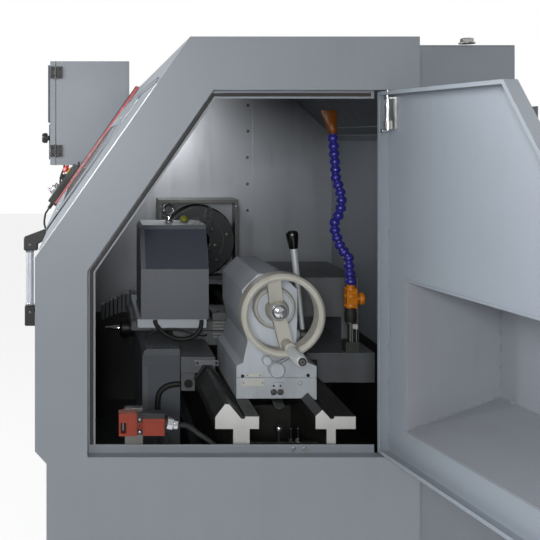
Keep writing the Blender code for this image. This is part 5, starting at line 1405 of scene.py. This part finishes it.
@dataclass
class Switch:
    """Interlock switch: lid, key slot, joint screws, gland nut and ribbed conduit."""

    body_y: Flat = (-0.3475, -0.2960)
    neck_y: Flat = (-0.3602, -0.3478)
    gland: tuple[Point, Point] = ((1.333, -0.2900, 0.8905), (1.333, -0.2660, 0.8860))
    route: tuple[Point, ...] = points(
        1333, -262.5, 884.75, 1331, -240, 882, 1322, -212, 860, 1305, -182, 834, 1290, -152, 800,
        1284, -120, 757, 1276, -102, 728, 1267.4, -100, 720, 1258, -100, 720,
    )
    ribs: int = 78
    stride: int = 6

    def lid(self) -> None:
        """Dark lid over the switch's body, black plates that are painted shade inside the key slot and the
        neck's slot, black neck faces, red faces, key and screws.
        """
        low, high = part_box("interlock_switch")
        face = high.x - 0.003
        near, far = self.body_y
        lid = Piece("switch_lid")
        lid.block((low.x + GAP, near - 0.0008, 0.9030), (face + 0.0008, far + 0.0008, 0.9165))
        lid.make("black_plastic", Slot.BLACK, bevel=0.001)
        # Black plates: the back of the key slot and the small one in the neck's slot are painted shade; the
        # two neck blocks are drawn black.
        dark = Piece("switch_slot_shade_and_neck")
        dark.block((low.x + 0.0103, low.y + 0.0045, 0.8700), (low.x + 0.0110, low.y + 0.0165, 0.8945))
        for z0, z1 in ((0.8650, 0.8770), (0.8930, 0.9120)):
            dark.block((low.x + 0.0020, self.neck_y[0], z0), (face - 0.0035, self.neck_y[1], z1))
        dark.block((low.x + 0.0200, -0.3556, 0.8815), (low.x + 0.0204, -0.3532, 0.8880))
        dark.make("black_plastic", Slot.BLACK)
        plate = Piece("switch_face")
        plate.block((face + HAIR, near + 0.004, 0.8680), (face + 0.0012, far - 0.004, 0.8945))
        plate.block((high.x + HAIR, -0.3815, 0.8690), (high.x + 0.0010, -0.3640, 0.9120))
        plate.make("switch_red", Slot.RED, bevel=0.0006)
        key = Piece("switch_key")
        key.block((low.x + 0.0112, low.y + 0.0075, 0.8740), (low.x + 0.0240, low.y + 0.0120, 0.8925))
        key.make("dull_steel", Slot.STEEL, bevel=0.0005)
        places = [(face - 0.0034, -0.3542, z) for z in (0.8715, 0.9010)]
        Piece("switch_screws").bolts(places, RIGHT, 0.0034).make("chrome", Slot.STEEL)

    def gland_nut(self) -> None:
        """Chrome hexagonal gland with its black collar."""
        start, along = self.gland[0], tuple(Vector(self.gland[1]) - Vector(self.gland[0]))
        profile = flats(11.6, 0, 13.8, 1, 14.2, 4, 14.2, 13, 13.8, 15, 11.6, 16)
        nut = Piece("switch_gland").turned(profile, start, along, 6, ring=True)
        profile = flats(7, 16, 13.4, 16, 12.8, 25.5, 7, 27)
        nut.turned(profile, start, along, 24, ring=True).make("chrome", Slot.STEEL)
        profile = flats(11.8, -5, 14.6, -5, 14.6, 0, 11.8, 0)
        Piece("gland_collar").turned(profile, start, along, 28, ring=True).make("black_rubber", Slot.RUBBER)

    def conduit(self) -> None:
        """Ribbed conduit from the gland to the bed."""
        path = smooth_route(list(self.route), self.ribs // 2 * self.stride + 1)
        sizes = [(0.0056, 0.0056, 0.0065, 0.0065)[index % 4] for index in range(len(path))]
        made = Piece("ribbed_conduit").sweep(path, sizes, 16).make("cable_rubber", Slot.RUBBER, smooth=30)
        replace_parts(made, "switch_conduit")

    def build(self) -> None:
        """Builds the switch's details."""
        self.lid()
        self.gland_nut()
        self.conduit()


@dataclass
class Pendant:
    """Hand pendant on the slanted front: bezel, selector, stop collar, pulse dial, hook and cable."""

    slope: Matrix
    left: float = -0.520
    right: float = -0.440
    start: float = -0.030
    end: float = 0.173
    top: float = 0.0443
    wheel_s: float = 0.030
    knob_s: float = 0.094
    stop_s: float = 0.133
    stride: int = 3
    route: tuple[Point, ...] = points(
        -480, -651.7, 1245, -480, -661.7, 1229, -480, -667.5, 1218, -480, -671.5, 1170, -488, -650, 1115,
        -505, -622, 1040, -540, -612, 950, -600, -612, 895, -670, -612, 910, -720, -612, 1000,
        -748, -612, 1140, -765, -612, 1280, -778, -608, 1370, -780, -592, 1415, -780, -590, 1437.7,
    )

    @property
    def middle(self) -> float:
        """The pendant's middle along X."""
        return (self.left + self.right) / 2

    def shell(self) -> None:
        """Bezel on the face, a seam round the body, grip ribs on its sides, and screws."""
        base, near, far = self.top + HAIR, self.left + 0.006, self.right - 0.006
        face = Piece("pendant_bezel")
        for low, high in ((self.start + 0.006, self.wheel_s - 0.030), (0.0660, 0.0800)):
            face.block((near, low, base), (far, high, self.top + 0.0012))
        face.moved(self.slope).make("gloss_black", Slot.BLACK, bevel=0.0006)
        ribs = Piece("pendant_ribs")
        for step in range(9):
            at = 0.030 + 0.008 * step
            ribs.block((self.left - 0.0012, at, 0.010), (self.left - HAIR, at + 0.0035, 0.036))
            ribs.block((self.right + HAIR, at, 0.010), (self.right + 0.0012, at + 0.0035, 0.036))
        seam = 0.0007
        low = (self.left - seam, self.start - seam, 0.0200)
        high = (self.right + seam, self.end + seam, 0.0218)
        ribs.block(low, high)
        ribs.moved(self.slope).make("black_rubber", Slot.RUBBER, bevel=0.0004)
        rows = (0.112, self.end - 0.008)
        places = [(x, s, base) for x in (self.left + 0.008, self.right - 0.008) for s in rows]
        Piece("pendant_screws").bolts(places, UP, 0.003).moved(self.slope).make("dull_steel", Slot.STEEL)

    def selector(self) -> None:
        """Fluted selector cap with a white pointer, and the round key beside it."""
        cap, flutes, at = Piece("selector_cap"), 18, (self.middle, self.knob_s)
        outline = []
        for step in range(flutes * 2):
            outline.append(polar(0.0130 if step % 2 else 0.0118, math.pi * step / flutes, at))
        cap.prism(outline, "Z", self.top + 0.003, self.top + 0.0186)
        base = self.top + HAIR
        cap.turned(flats(0, 0, 15.5, 0, 14.5, 2.8, 0, 2.8), (*at, base), UP, 28)
        profile = flats(0, 0, 7, 0, 7, 8, 6.2, 10, 0, 10)
        cap.turned(profile, (self.right - 0.020, 0.1080, base), UP, 20)
        cap.moved(self.slope).make("black_plastic", Slot.BLACK, bevel=0.0004)
        low = (self.middle - 0.0010, self.knob_s, self.top + 0.0187)
        high = (self.middle + 0.0010, self.knob_s + 0.0115, self.top + 0.0191)
        mark = Piece("selector_mark").block(low, high)
        mark.moved(self.slope).make("white_plate", Slot.LIGHT)

    def pulse(self) -> None:
        """Yellow collar under the emergency stop; the pulse wheel's scale ring, knurled rim and grip."""
        base = self.top + HAIR
        profile = flats(10.8, 0, 21.2, 0, 20.6, 4, 15.5, 4.4, 10.8, 3.4)
        collar = Piece("stop_collar").turned(profile, (self.middle, self.stop_s, base), UP, 36, ring=True)
        collar.moved(self.slope).make("yellow", Slot.ORANGE)
        profile = flats(28.5, 0, 34.5, 0, 34, 1.4, 28.5, 1.4)
        dial = Piece("pulse_dial").turned(profile, (self.middle, self.wheel_s, base), UP, 48, ring=True)
        dial.moved(self.slope).make("white_plate", Slot.LIGHT)
        knurl, count = Piece("pulse_knurl"), 48
        for step in range(count):
            at = polar(0.0275, 2 * math.pi * step / count, (self.middle, self.wheel_s))
            knurl.rod((*at, self.top + 0.0050), (*at, self.top + 0.0135), 0.0008, 6)
        knurl.moved(self.slope).make("steel", Slot.STEEL, Body.PULSE)
        profile = flats(0, 0, 2.8, 0, 2.8, 3, 5, 5, 5.6, 13, 4.4, 16.5, 0, 17)
        foot = (self.middle, self.wheel_s - 0.0165, self.top + 0.0174)
        grip = Piece("pulse_grip").turned(profile, foot, UP, 20)
        grip.moved(self.slope).make("satin_steel", Slot.STEEL, Body.PULSE)

    def hook(self) -> None:
        """Hook on the pendant's top with its pin, and the ribbed strain relief below."""
        near, far = self.middle - 0.011, self.middle + 0.011
        strap = Piece("pendant_hook").block((near, self.end + HAIR, 0.010), (far, self.end + 0.012, 0.030))
        strap.block((near, self.end + 0.0121, 0.022), (far, self.end + 0.020, 0.034))
        strap.moved(self.slope).make("black_plastic", Slot.BLACK, bevel=0.001)
        start, end = ((self.middle + side * 0.014, self.end + 0.0145, 0.016) for side in (-1, 1))
        Piece("hook_pin").rod(start, end, 0.0045, 16).moved(self.slope).make("chrome", Slot.STEEL)
        boot, bore = Piece("pendant_boot"), 0.0078
        for step in range(7):
            size = 0.0098 - 0.0006 * step
            profile = hoop(bore, size, 0.0026)
            if size <= 0.0082:
                profile = flats(8.1, 0, 8.6, 0.4, 8.6, 2, 8.1, 2.4)
            foot = (self.middle, self.start - 0.0040 * step - 0.0005, self.top / 2)
            boot.turned(profile, foot, FRONT, 20, ring=True)
        boot.moved(self.slope).make("black_rubber", Slot.RUBBER)

    def cable(self) -> None:
        """Cable from the strain relief down, along the front and up into the control cabinet."""
        path = smooth_route(list(self.route), 39 * self.stride + 1)
        made = Piece("pendant_cord").sweep(path, 0.0045, 14).make("cable_rubber", Slot.RUBBER)
        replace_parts(made, "pendant_cable")

    def build(self) -> None:
        """Builds the pendant's details."""
        self.shell()
        self.selector()
        self.pulse()
        self.hook()
        self.cable()


@dataclass
class ControlUnit:
    """Control cabinet: hinges, seal, latch knob, and a blank screen with keys on its door."""

    hinge_z: tuple[Flat, ...] = ((1.476, 1.532), (1.843, 1.899))
    knob: Flat = (-0.660, 1.5645)
    skin: float = 0.040
    fascia: float = 0.0105
    split_z: Flat = (1.630, 1.638)

    def hinges(self, side: float, axis_y: float) -> None:
        """Two-leaf black hinges on the right side."""
        fixed, moving, pins = Piece("hinge_leaves"), Piece("door_leaves"), Piece("hinge_barrels")
        foot, face = side + 0.0002, side + 0.0052
        for low, high in self.hinge_z:
            fixed.block((foot, axis_y + 0.0045, low), (face, axis_y + 0.0325, high))
            moving.block((foot, axis_y - 0.0235, low), (face, axis_y - 0.0045, high))
            pins.rod((side + 0.004, axis_y, low - 0.001), (side + 0.004, axis_y, high + 0.001), 0.0036, 20)
            for z in (low + 0.012, high - 0.012):
                fixed.bolt((face + HAIR, axis_y + 0.020, z), RIGHT, 0.0042)
                moving.bolt((face + HAIR, axis_y - 0.015, z), RIGHT, 0.0042)
        fixed.make("black_plastic", Slot.BLACK, bevel=0.0008)
        moving.make("black_plastic", Slot.BLACK, Body.CONTROL_DOOR, bevel=0.0008)
        pins.make("gloss_black", Slot.BLACK)

    @staticmethod
    def seal(axis_y: float) -> None:
        """Dark seal line between cabinet and door."""
        low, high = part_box("control_box")
        proud, wide = 0.0004, 0.004
        outer = (low.x - proud, low.z - proud, high.x + proud, high.z + proud)
        inner = (low.x + wide, low.z + wide, high.x - wide, high.z - wide)
        seal = Piece("control_seal").border(outer, inner, "Y", axis_y + 0.0002, axis_y + 0.0026)
        seal.make("seal_rubber", Slot.RUBBER)

    def latch(self, face: float) -> None:
        """Black latch knob over the door's stub."""
        profile = flats(
            0, 0, 15, 0, 15, 4, 11.8, 8, 11.8, 14.5, 23.2, 17, 24, 20, 24, 32.5, 22.5, 36.5, 19, 41.5,
            0, 41.8,
        )
        cap = Piece("latch_knob").turned(profile, (self.knob[0], face, self.knob[1]), FRONT, 28)
        cap.make("black_plastic", Slot.BLACK, Body.CONTROL_DOOR)

    def panel(self, face: float) -> None:
        """Fascia in two parts with a dark blank screen and a field of blank keys."""
        low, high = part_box("control_door")
        left, right = low.x, high.x
        plate, back, front = Piece("control_fascia"), face - 0.0002, face - self.fascia
        plate.block((left + 0.020, front, low.z + 0.024), (right - 0.110, back, self.split_z[0]))
        plate.block((left + 0.020, front, self.split_z[1]), (right - 0.008, back, high.z - 0.018))
        plate.make("cover_dark", Slot.DARK, Body.CONTROL_DOOR, bevel=0.0012)
        x0, x1, z0, z1, rim = left + 0.045, right - 0.165, 1.665, 1.880, 0.014
        inner = (x0 + rim, z0 + rim, x1 - rim, z1 - rim)
        bezel = Piece("screen_bezel").border((x0, z0, x1, z1), inner, "Y", front - 0.0060, front - HAIR)
        bezel.make("black_plastic", Slot.BLACK, Body.CONTROL_DOOR, bevel=0.001)
        glass = Piece("screen_glass")
        glass.block((inner[0], front - 0.0020, inner[1]), (inner[2], front - HAIR, inner[3]))
        glass.make("gloss_black", Slot.BLACK, Body.CONTROL_DOOR)
        keys = Piece("key_field")
        for row in range(4):
            for column in range(11):
                x, z = x0 + 0.004 + 0.0265 * column, 1.488 + 0.034 * row
                keys.block((x, front - 0.0038, z), (x + 0.020, front - HAIR, z + 0.022))
        keys.make("white_plate", Slot.LIGHT, Body.CONTROL_DOOR, bevel=0.0012)

    def build(self) -> None:
        """Builds the control cabinet's details."""
        low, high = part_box("control_door")
        self.hinges(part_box("control_box")[1].x, high.y)
        self.seal(high.y)
        self.latch(low.y + self.skin)
        self.panel(low.y + self.skin)


@dataclass
class FrontDoor:
    """Window frame with its screws, guide rail, and the handle's bands and bracket bolts."""

    slope: Matrix
    window_s: Flat = (0.080, 0.400)
    skin: float = 0.0062
    rail_s: Flat = (0.5135, 0.5285)
    travel: float = 0.500
    bracket_y: float = -0.6560

    def window(self) -> None:
        """Retaining frame round the window and screws outside it."""
        left, right = (corner.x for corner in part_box("front_door_window"))
        low, high = self.window_s
        wide, inner, count = 0.014, 0.004, 7
        outer = (left - wide, low - wide, right + wide, high + wide)
        opening = (left + inner, low + inner, right - inner, high - inner)
        frame = Piece("window_frame").border(outer, opening, "Z", self.skin, self.skin + 0.0014)
        frame.moved(self.slope).make("door_paint", Slot.LIGHT, Body.FRONT_DOOR, bevel=0.0005)
        screws = Piece("window_screws")
        for s in (low - 0.026, high + 0.026):
            places = [(left + (right - left) * step / (count - 1), s, self.skin) for step in range(count)]
            screws.bolts(places, UP, 0.0045)
        screws.moved(self.slope).make("steel", Slot.STEEL, Body.FRONT_DOOR)

    def rail(self) -> None:
        """Guide rail along the top of the door's travel."""
        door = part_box("front_door")
        start, end = door[0].x, door[1].x + self.travel
        low, high = self.rail_s
        rail = Piece("door_rail").block((start, low, GAP), (end, high, 0.0030))
        rail.block((start, high - 0.003, 0.0030), (end, high, 0.0060))
        rail.moved(self.slope).make("panel_paint", Slot.LIGHT, bevel=0.0005)

    def handle(self) -> None:
        """Cap bands at both ends of the handle bar and bolts on its brackets."""
        low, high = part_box("handle_bar")
        x, y = (low.x + high.x) / 2, (low.y + high.y) / 2
        profile = flats(12.1, 0, 13.6, 1, 13.6, 5, 12.1, 6)
        bands = Piece("handle_bands")
        for z in (low.z + 0.0005, high.z - 0.0065):
            bands.turned(profile, (x, y, z), UP, 28, ring=True)
        bands.make("chrome", Slot.STEEL, Body.FRONT_DOOR)
        upper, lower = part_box("handle_bracket_upper"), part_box("handle_bracket_lower")
        heights = (upper[0].z + 0.018, lower[1].z - 0.020)
        bolts = Piece("bracket_bolts")
        for side, axis in ((upper[1].x, (1, 0, 0)), (upper[0].x, (-1, 0, 0))):
            bolts.bolts([(side, self.bracket_y, z) for z in heights], axis, 0.0050)
        bolts.make("dull_steel", Slot.STEEL, Body.FRONT_DOOR)

    def build(self) -> None:
        """Builds the front door's details."""
        self.window()
        self.rail()
        self.handle()


@dataclass
class Enclosure:
    """Seams, screws, louvres and feet of the sheet enclosure and the base."""

    proud: float = 0.0012
    strip: float = 0.030
    screw: float = 0.0055
    panel_x: tuple[float, ...] = (-0.140, 0.380, 0.900)
    foot_x: tuple[float, ...] = (-1.150, 0.0, 1.040)
    plinth: tuple[Flat, ...] = ((-0.5450, -0.5097), (0.5870, 0.5517))

    def rear(self) -> None:
        """Seam strips and screws on the rear wall, and its three lift-off panels with louvres."""
        low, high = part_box("rear_wall")
        foot, face, count = high.y + HAIR, high.y + self.proud, 8
        strips, screws = Piece("rear_strips"), Piece("rear_screws")
        for x in (-1.210, -0.200, 0.320, 0.840):
            strips.block((x, foot, low.z + 0.020), (x + self.strip, face, high.z - 0.020))
            for step in range(count):
                z = low.z + 0.060 + step * (high.z - low.z - 0.120) / (count - 1)
                screws.bolt((x + self.strip / 2, face, z), REAR, self.screw)
        strips.make("panel_paint", Slot.GREY, bevel=0.0005)
        panels, vents = Piece("rear_panels"), Piece("rear_vents")
        for x in self.panel_x:
            panels.block((x, foot, 1.020), (x + 0.380, face, 1.640))
            places = [(x + dx, face, z) for dx in (0.015, 0.365) for z in (1.035, 1.330, 1.625)]
            screws.bolts(places, REAR, self.screw)
            for step in range(12):
                z = 1.380 + 0.016 * step
                vents.block((x + 0.060, face + HAIR, z), (x + 0.320, face + 0.0030, z + 0.0060))
        panels.make("panel_paint", Slot.GREY, bevel=0.0008)
        screws.make("dull_steel", Slot.STEEL)
        vents.make("door_paint", Slot.GREY, bevel=0.0012)

    def top(self) -> None:
        """Seam strips across the roof with their screws, and four lifting nuts."""
        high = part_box("roof")[1]
        strips, screws = Piece("roof_strips"), Piece("roof_screws")
        front, face, inset, count = -0.225, high.z + self.proud, 0.030, 6
        for x in (-0.420, 0.420):
            strips.block((x, front, high.z + HAIR), (x + self.strip, high.y - 0.012, face))
            for step in range(count):
                y = front + inset + step * (high.y - 0.042 - front - inset) / (count - 1)
                screws.bolt((x + self.strip / 2, y, face), UP, self.screw)
        strips.make("panel_paint", Slot.LIGHT, bevel=0.0005)
        for x in (-1.200, 1.200):
            for y in (-0.150, 0.480):
                screws.bolt((x, y, high.z + HAIR), UP, 0.0160, hexagon=True)
        screws.make("dull_steel", Slot.STEEL)

    def left(self) -> None:
        """Lift-off panel with louvres and screws on the left end cover."""
        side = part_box("left_end_cover")[0].x
        face = side - self.proud
        panel = Piece("left_panel").block((face, -0.440, 0.560), (side - HAIR, 0.440, 1.240))
        panel.make("panel_paint", Slot.LIGHT, bevel=0.0008)
        rows = {-0.425: (0.575, 0.900, 1.225), 0.0: (0.575, 1.225), 0.425: (0.575, 0.900, 1.225)}
        places = [(face, y, z) for y, levels in rows.items() for z in levels]
        Piece("left_screws").bolts(places, (-1, 0, 0), self.screw).make("dull_steel", Slot.STEEL)
        vents = Piece("left_vents")
        for step in range(14):
            z = 0.640 + 0.018 * step
            for y in (-0.330, 0.060):
                vents.block((face - 0.0030, y, z), (face - HAIR, y + 0.270, z + 0.0065))
        vents.make("door_paint", Slot.LIGHT, bevel=0.0012)

    def front(self) -> None:
        """Seam strips and screws on the front skirt, and screws of the front covers."""
        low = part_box("front_skirt")[0]
        face = low.y - self.proud
        strips, screws = Piece("skirt_strips"), Piece("skirt_screws")
        for x in (-0.440, 0.440):
            strips.block((x, face, low.z + 0.012), (x + self.strip, low.y - HAIR, 0.790))
            places = [(x + self.strip / 2, face, low.z + 0.060 + 0.120 * step) for step in range(4)]
            screws.bolts(places, FRONT, self.screw)
        places = [(x, low.y - HAIR, z) for x in (-1.300, -0.460, 1.300) for z in (0.860, 1.060, 1.240)]
        screws.bolts(places, FRONT, self.screw)
        strips.make("panel_paint", Slot.LIGHT, bevel=0.0005)
        screws.make("dull_steel", Slot.STEEL)

    def feet(self) -> None:
        """Levelling screws with pads and nuts in the toe recess of the base, and their lugs."""
        feet, lugs = Piece("levelling_feet"), Piece("foot_lugs")
        for x in self.foot_x:
            for y, inner in self.plinth:
                low, high = sorted((inner, y + math.copysign(0.024, y)))
                lugs.block((x - 0.035, low, 0.1020), (x + 0.035, high, 0.1280))
                profile = flats(0, 0, 22, 0, 22, 8, 16, 14, 0, 14)
                feet.turned(profile, (x, y, 0.0), UP, 28)
                feet.rod((x, y, 0.012), (x, y, 0.1500), 0.0080, 16)
                for z in (0.0885, 0.1282):
                    feet.turned(disc(0.015, 0.013), (x, y, z), UP, 6)
        lugs.make("base_paint", Slot.DARK, bevel=0.003)
        feet.make("dull_steel", Slot.STEEL)

    def build(self) -> None:
        """Builds every detail of the enclosure."""
        self.rear()
        self.top()
        self.left()
        self.front()
        self.feet()


@dataclass
class Cabinet:
    """Hinges, seal, louvres and grip of the electrical cabinet behind the machine."""

    hinge_z: tuple[float, ...] = (0.620, 1.100, 1.600)
    louvre_z: tuple[float, ...] = (0.580, 1.480)

    def build(self) -> None:
        """Builds the cabinet's details."""
        (low, high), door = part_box("cabinet_box"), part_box("cabinet_door")
        axis_y, face = door[0].y, door[1].y - 0.022
        barrels = Piece("cabinet_hinges")
        for z in self.hinge_z:
            barrels.rod((high.x + 0.004, axis_y, z), (high.x + 0.004, axis_y, z + 0.060), 0.0060, 20)
            barrels.block((high.x + 0.0002, axis_y - 0.030, z), (high.x + 0.0030, axis_y - 0.005, z + 0.060))
        barrels.make("dull_steel", Slot.STEEL, bevel=0.0005)
        seal, proud, wide = Piece("cabinet_seal"), 0.0005, 0.003
        for x0, z0, x1 in (
            (low.x - proud, low.z - proud, low.x + wide),
            (low.x + wide, high.z - wide, high.x - wide),
            (high.x - wide, low.z - proud, high.x + proud),
        ):
            seal.block((x0, axis_y - 0.0030, z0), (x1, axis_y - GAP, high.z + proud))
        seal.make("seal_rubber", Slot.RUBBER)
        louvres = Piece("cabinet_louvres")
        for z in (start + 0.018 * step for start in self.louvre_z for step in range(10)):
            louvres.block((-0.920, face + HAIR, z), (-0.520, face + 0.0035, z + 0.0065))
        louvres.make("door_paint", Slot.GREY, Body.CABINET_DOOR, bevel=0.0014)
        grip = Piece("cabinet_grip").block((-1.1485, face + 0.0225, 1.066), (-1.1255, face + 0.0240, 1.174))
        grip.block((-1.1560, face + HAIR, 1.046), (-1.1180, face + 0.0020, 1.194))
        grip.make("black_plastic", Slot.BLACK, Body.CABINET_DOOR, bevel=0.0008)


def duct_flange() -> None:
    """Folded flange strips along the sloped duct's lower edge, in the work area's back corner."""
    low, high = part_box("rear_duct")
    flange, fold, skin, half = Piece("duct_flange"), 0.028, 0.0033, 0.002
    for rise in (0.0215, 0.0530):
        z, face = low.z + rise, high.y - skin - max(0.0, rise - fold)
        flange.block((low.x + 0.004, face - 0.0026, z - half), (high.x - 0.004, face - GAP, z + half))
    flange.make("weld", Slot.GREY)


@dataclass
class Studio:
    """Camera at the photo's angle, pale floor, plain backdrop and soft lamps."""

    focal_px: float = 826.5
    frame_px: float = 540.0
    sensor_mm: float = 36.0
    eye: Point = (3.284, -0.478, 1.560)
    vanishing_px: Flat = (87.0, 139.0)
    floor_half: float = 14.0
    floor_grey: float = 0.86

    @staticmethod
    def place(name: str, data: bpy.types.ID, location: Point) -> bpy.types.Object:
        """Adds an object that isn't a part of the machine.

        Args:
            name: its name.
            data: its camera, lamp or mesh.
            location: where it stands.

        Returns:
            The object.
        """
        made = bpy.data.objects.new(name, data)
        made.location = location
        bpy.context.scene.collection.objects.link(made)
        return made

    @staticmethod
    def seen(graph: Graph) -> tuple[bpy.types.NodeSocket, bpy.types.Node]:
        """Adds a mask of camera and transmission rays, and returns it with its Light Path node."""
        rays = graph.node("LightPath")
        return graph.math("ADD", rays.outputs["Is Camera Ray"], rays.outputs["Is Transmission Ray"]), rays

    def camera(self) -> None:
        """Camera looking along -X, shifted so that the X direction vanishes where the photo's does."""
        data = bpy.data.cameras.new("view")
        data.sensor_width = self.sensor_mm
        data.lens = self.focal_px * self.sensor_mm / self.frame_px
        data.shift_x = 0.5 - self.vanishing_px[0] / self.frame_px
        data.shift_y = self.vanishing_px[1] / self.frame_px - 0.5
        data.clip_end = 60.0
        made = self.place("view", data, self.eye)
        made.rotation_euler = (math.pi / 2, 0, math.pi / 2)
        bpy.context.scene.camera = made

    def floor(self) -> None:
        """Pale floor that shows as white to the camera and keeps the machine's shadow."""
        data = bpy.data.meshes.new("floor")
        half, grey = self.floor_half, self.floor_grey
        corners = [(-half, -half, 0), (half, -half, 0), (half, half, 0), (-half, half, 0)]
        data.from_pydata(corners, [], [(0, 1, 2, 3)])
        paint = bpy.data.materials.new("floor_white")
        paint.use_nodes = True
        graph = Graph(paint.node_tree)
        shader = paint.node_tree.nodes["Principled BSDF"]
        shader.inputs["Base Color"].default_value = (grey, grey, grey, 1)
        shader.inputs["Roughness"].default_value = 0.8
        glow = graph.node("Emission", Strength=1.0)
        glow.inputs["Color"].default_value = (1, 1, 1, 1)
        blend = graph.node("MixShader")
        graph.put(blend.inputs[0], graph.math("MULTIPLY", self.seen(graph)[0], grey))
        graph.put(blend.inputs[1], shader.outputs[0])
        graph.put(blend.inputs[2], glow.outputs[0])
        graph.put(paint.node_tree.nodes["Material Output"].inputs["Surface"], blend.outputs[0])
        data.materials.append(paint)
        self.place("floor", data, (0, 0, -0.0005))

    def world(self) -> None:
        """White backdrop to camera, glossy and transmission rays, soft grey light otherwise."""
        world = bpy.data.worlds.new("studio")
        world.use_nodes = True
        graph = Graph(world.node_tree)
        seen, rays = self.seen(graph)
        glossy = graph.math("MULTIPLY", rays.outputs["Is Glossy Ray"], 0.55)
        sky = world.node_tree.nodes["Background"]
        sky.inputs["Color"].default_value = (1.0, 1.0, 1.0, 1.0)
        graph.put(sky.inputs["Strength"], graph.math("MAXIMUM", graph.math("MAXIMUM", seen, glossy), 0.20))
        bpy.context.scene.world = world

    def lamp(
        self, name: str, place: Point, aim: Point, size: float, watts: float, colour: Colour,
        spread: float = 180.0,
    ) -> None:
        """Adds one square area lamp.

        Args:
            name: its name.
            place: where it stands.
            aim: the point it faces.
            size: side length.
            watts: power.
            colour: light colour.
            spread: full angle of its beam in degrees.
        """
        data = bpy.data.lights.new(name, "AREA")
        data.size = size
        data.energy = watts
        data.color = colour
        data.spread = math.radians(spread)
        made = self.place(name, data, place)
        made.rotation_euler = (Vector(aim) - Vector(place)).to_track_quat("-Z", "Y").to_euler()

    def build(self) -> None:
        """Builds camera, floor, world and lamps."""
        self.camera()
        self.floor()
        self.world()
        self.lamp("key", (3.6, -3.2, 3.6), (0.8, 0, 1.2), 2.6, 30, (1.0, 0.99, 0.97))
        self.lamp("face", (4.2, -0.75, 1.8), (0.9, -0.05, 1.2), 0.5, 42, (1.0, 1.0, 1.0))
        self.lamp("front", (0.4, -3.4, 2.4), (0.6, 0.2, 1.2), 2.2, 150, (0.97, 0.98, 1.0))
        self.lamp("rear_fill", (1.5, 3.4, 3.0), (0.2, 0, 1.2), 2.6, 60, (0.98, 0.99, 1.0))
        self.lamp("work", (0.15, -0.15, 1.690), (-0.40, -0.14, 1.48), 0.18, 1.4, (1.0, 0.99, 0.97), 100)
        bpy.context.scene.view_settings.view_transform = "Standard"


NODE_FINISHES = {
    "base_paint": ("base",),
    "bed_iron": ("bed",),
    "tray_steel": ("chip_tray",),
    "panel_paint": (
        "end_panel", "rear_wall", "front_skirt", "front_panel_right", "front_panel_left", "roof",
        "left_end_cover", "front_door", "control_box", "control_door", "cabinet_box", "cabinet_door",
    ),
    "bulkhead_sheet": ("bulkhead",),
    "guard_sheet": ("chuck_guard", "switch_bracket"),
    "inner_paint": ("rear_duct",),
    "cast_paint": ("headstock", "turret_base", "tailstock_base", "tailstock_body"),
    "dull_steel": ("spindle", "tool_post", "coolant_pipe"),
    "chuck_steel": ("chuck_body", "chuck_jaw_1", "chuck_jaw_2", "chuck_jaw_3"),
    "slide_paint": ("saddle", "apron", "rear_housing", "cross_slide"),
    "cover_paint": ("turret_cover",),
    "valve_orange": ("coolant_valve", "valve_knob"),
    "hose_blue": ("coolant_hose",),
    "nozzle_orange": ("hose_nozzle",),
    "steel": ("ball_screw", "quill", "pin_bracket", "hinge_spring", "pendant_wheel"),
    "wheel_paint_dirt_and_shade": ("handwheel",),
    "white_rod": ("crank_handle",),
    "gloss_black": ("lock_lever",),
    "door_paint": ("end_door",),
    "pocket_paint": ("end_door_pocket",),
    "chrome": ("hinge_pin",),
    "window": ("front_door_window",),
    "satin_steel": ("handle_bar",),
    "black_plastic": ("handle_bracket_upper", "handle_bracket_lower", "pendant_body"),
    "switch_red": ("interlock_switch",),
    "cable_rubber": ("switch_conduit", "pendant_cable"),
    "stop_red": ("emergency_stop",),
}


def main() -> None:
    """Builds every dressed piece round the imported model, then camera and light."""
    logging.basicConfig(level=logging.INFO, format="%(message)s")
    for old in list(bpy.data.objects):
        bpy.data.objects.remove(old)
    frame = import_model()
    Piece.palette = Palette(Effects())
    paint_nodes(frame, Piece.palette)
    slope = slant_matrix()
    units = (
        EndFrame(slope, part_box("end_panel")[1].x), EndDoor(), Bulkhead(), Chuck(), Tailstock(), Bed(),
        Carriage(), Coolant(), Switch(), Pendant(slope), ControlUnit(), FrontDoor(slope), Enclosure(),
        Cabinet(),
    )
    for unit in units:
        unit.build()
    duct_flange()
    Studio().build()


if __name__ == "__main__":
    main()
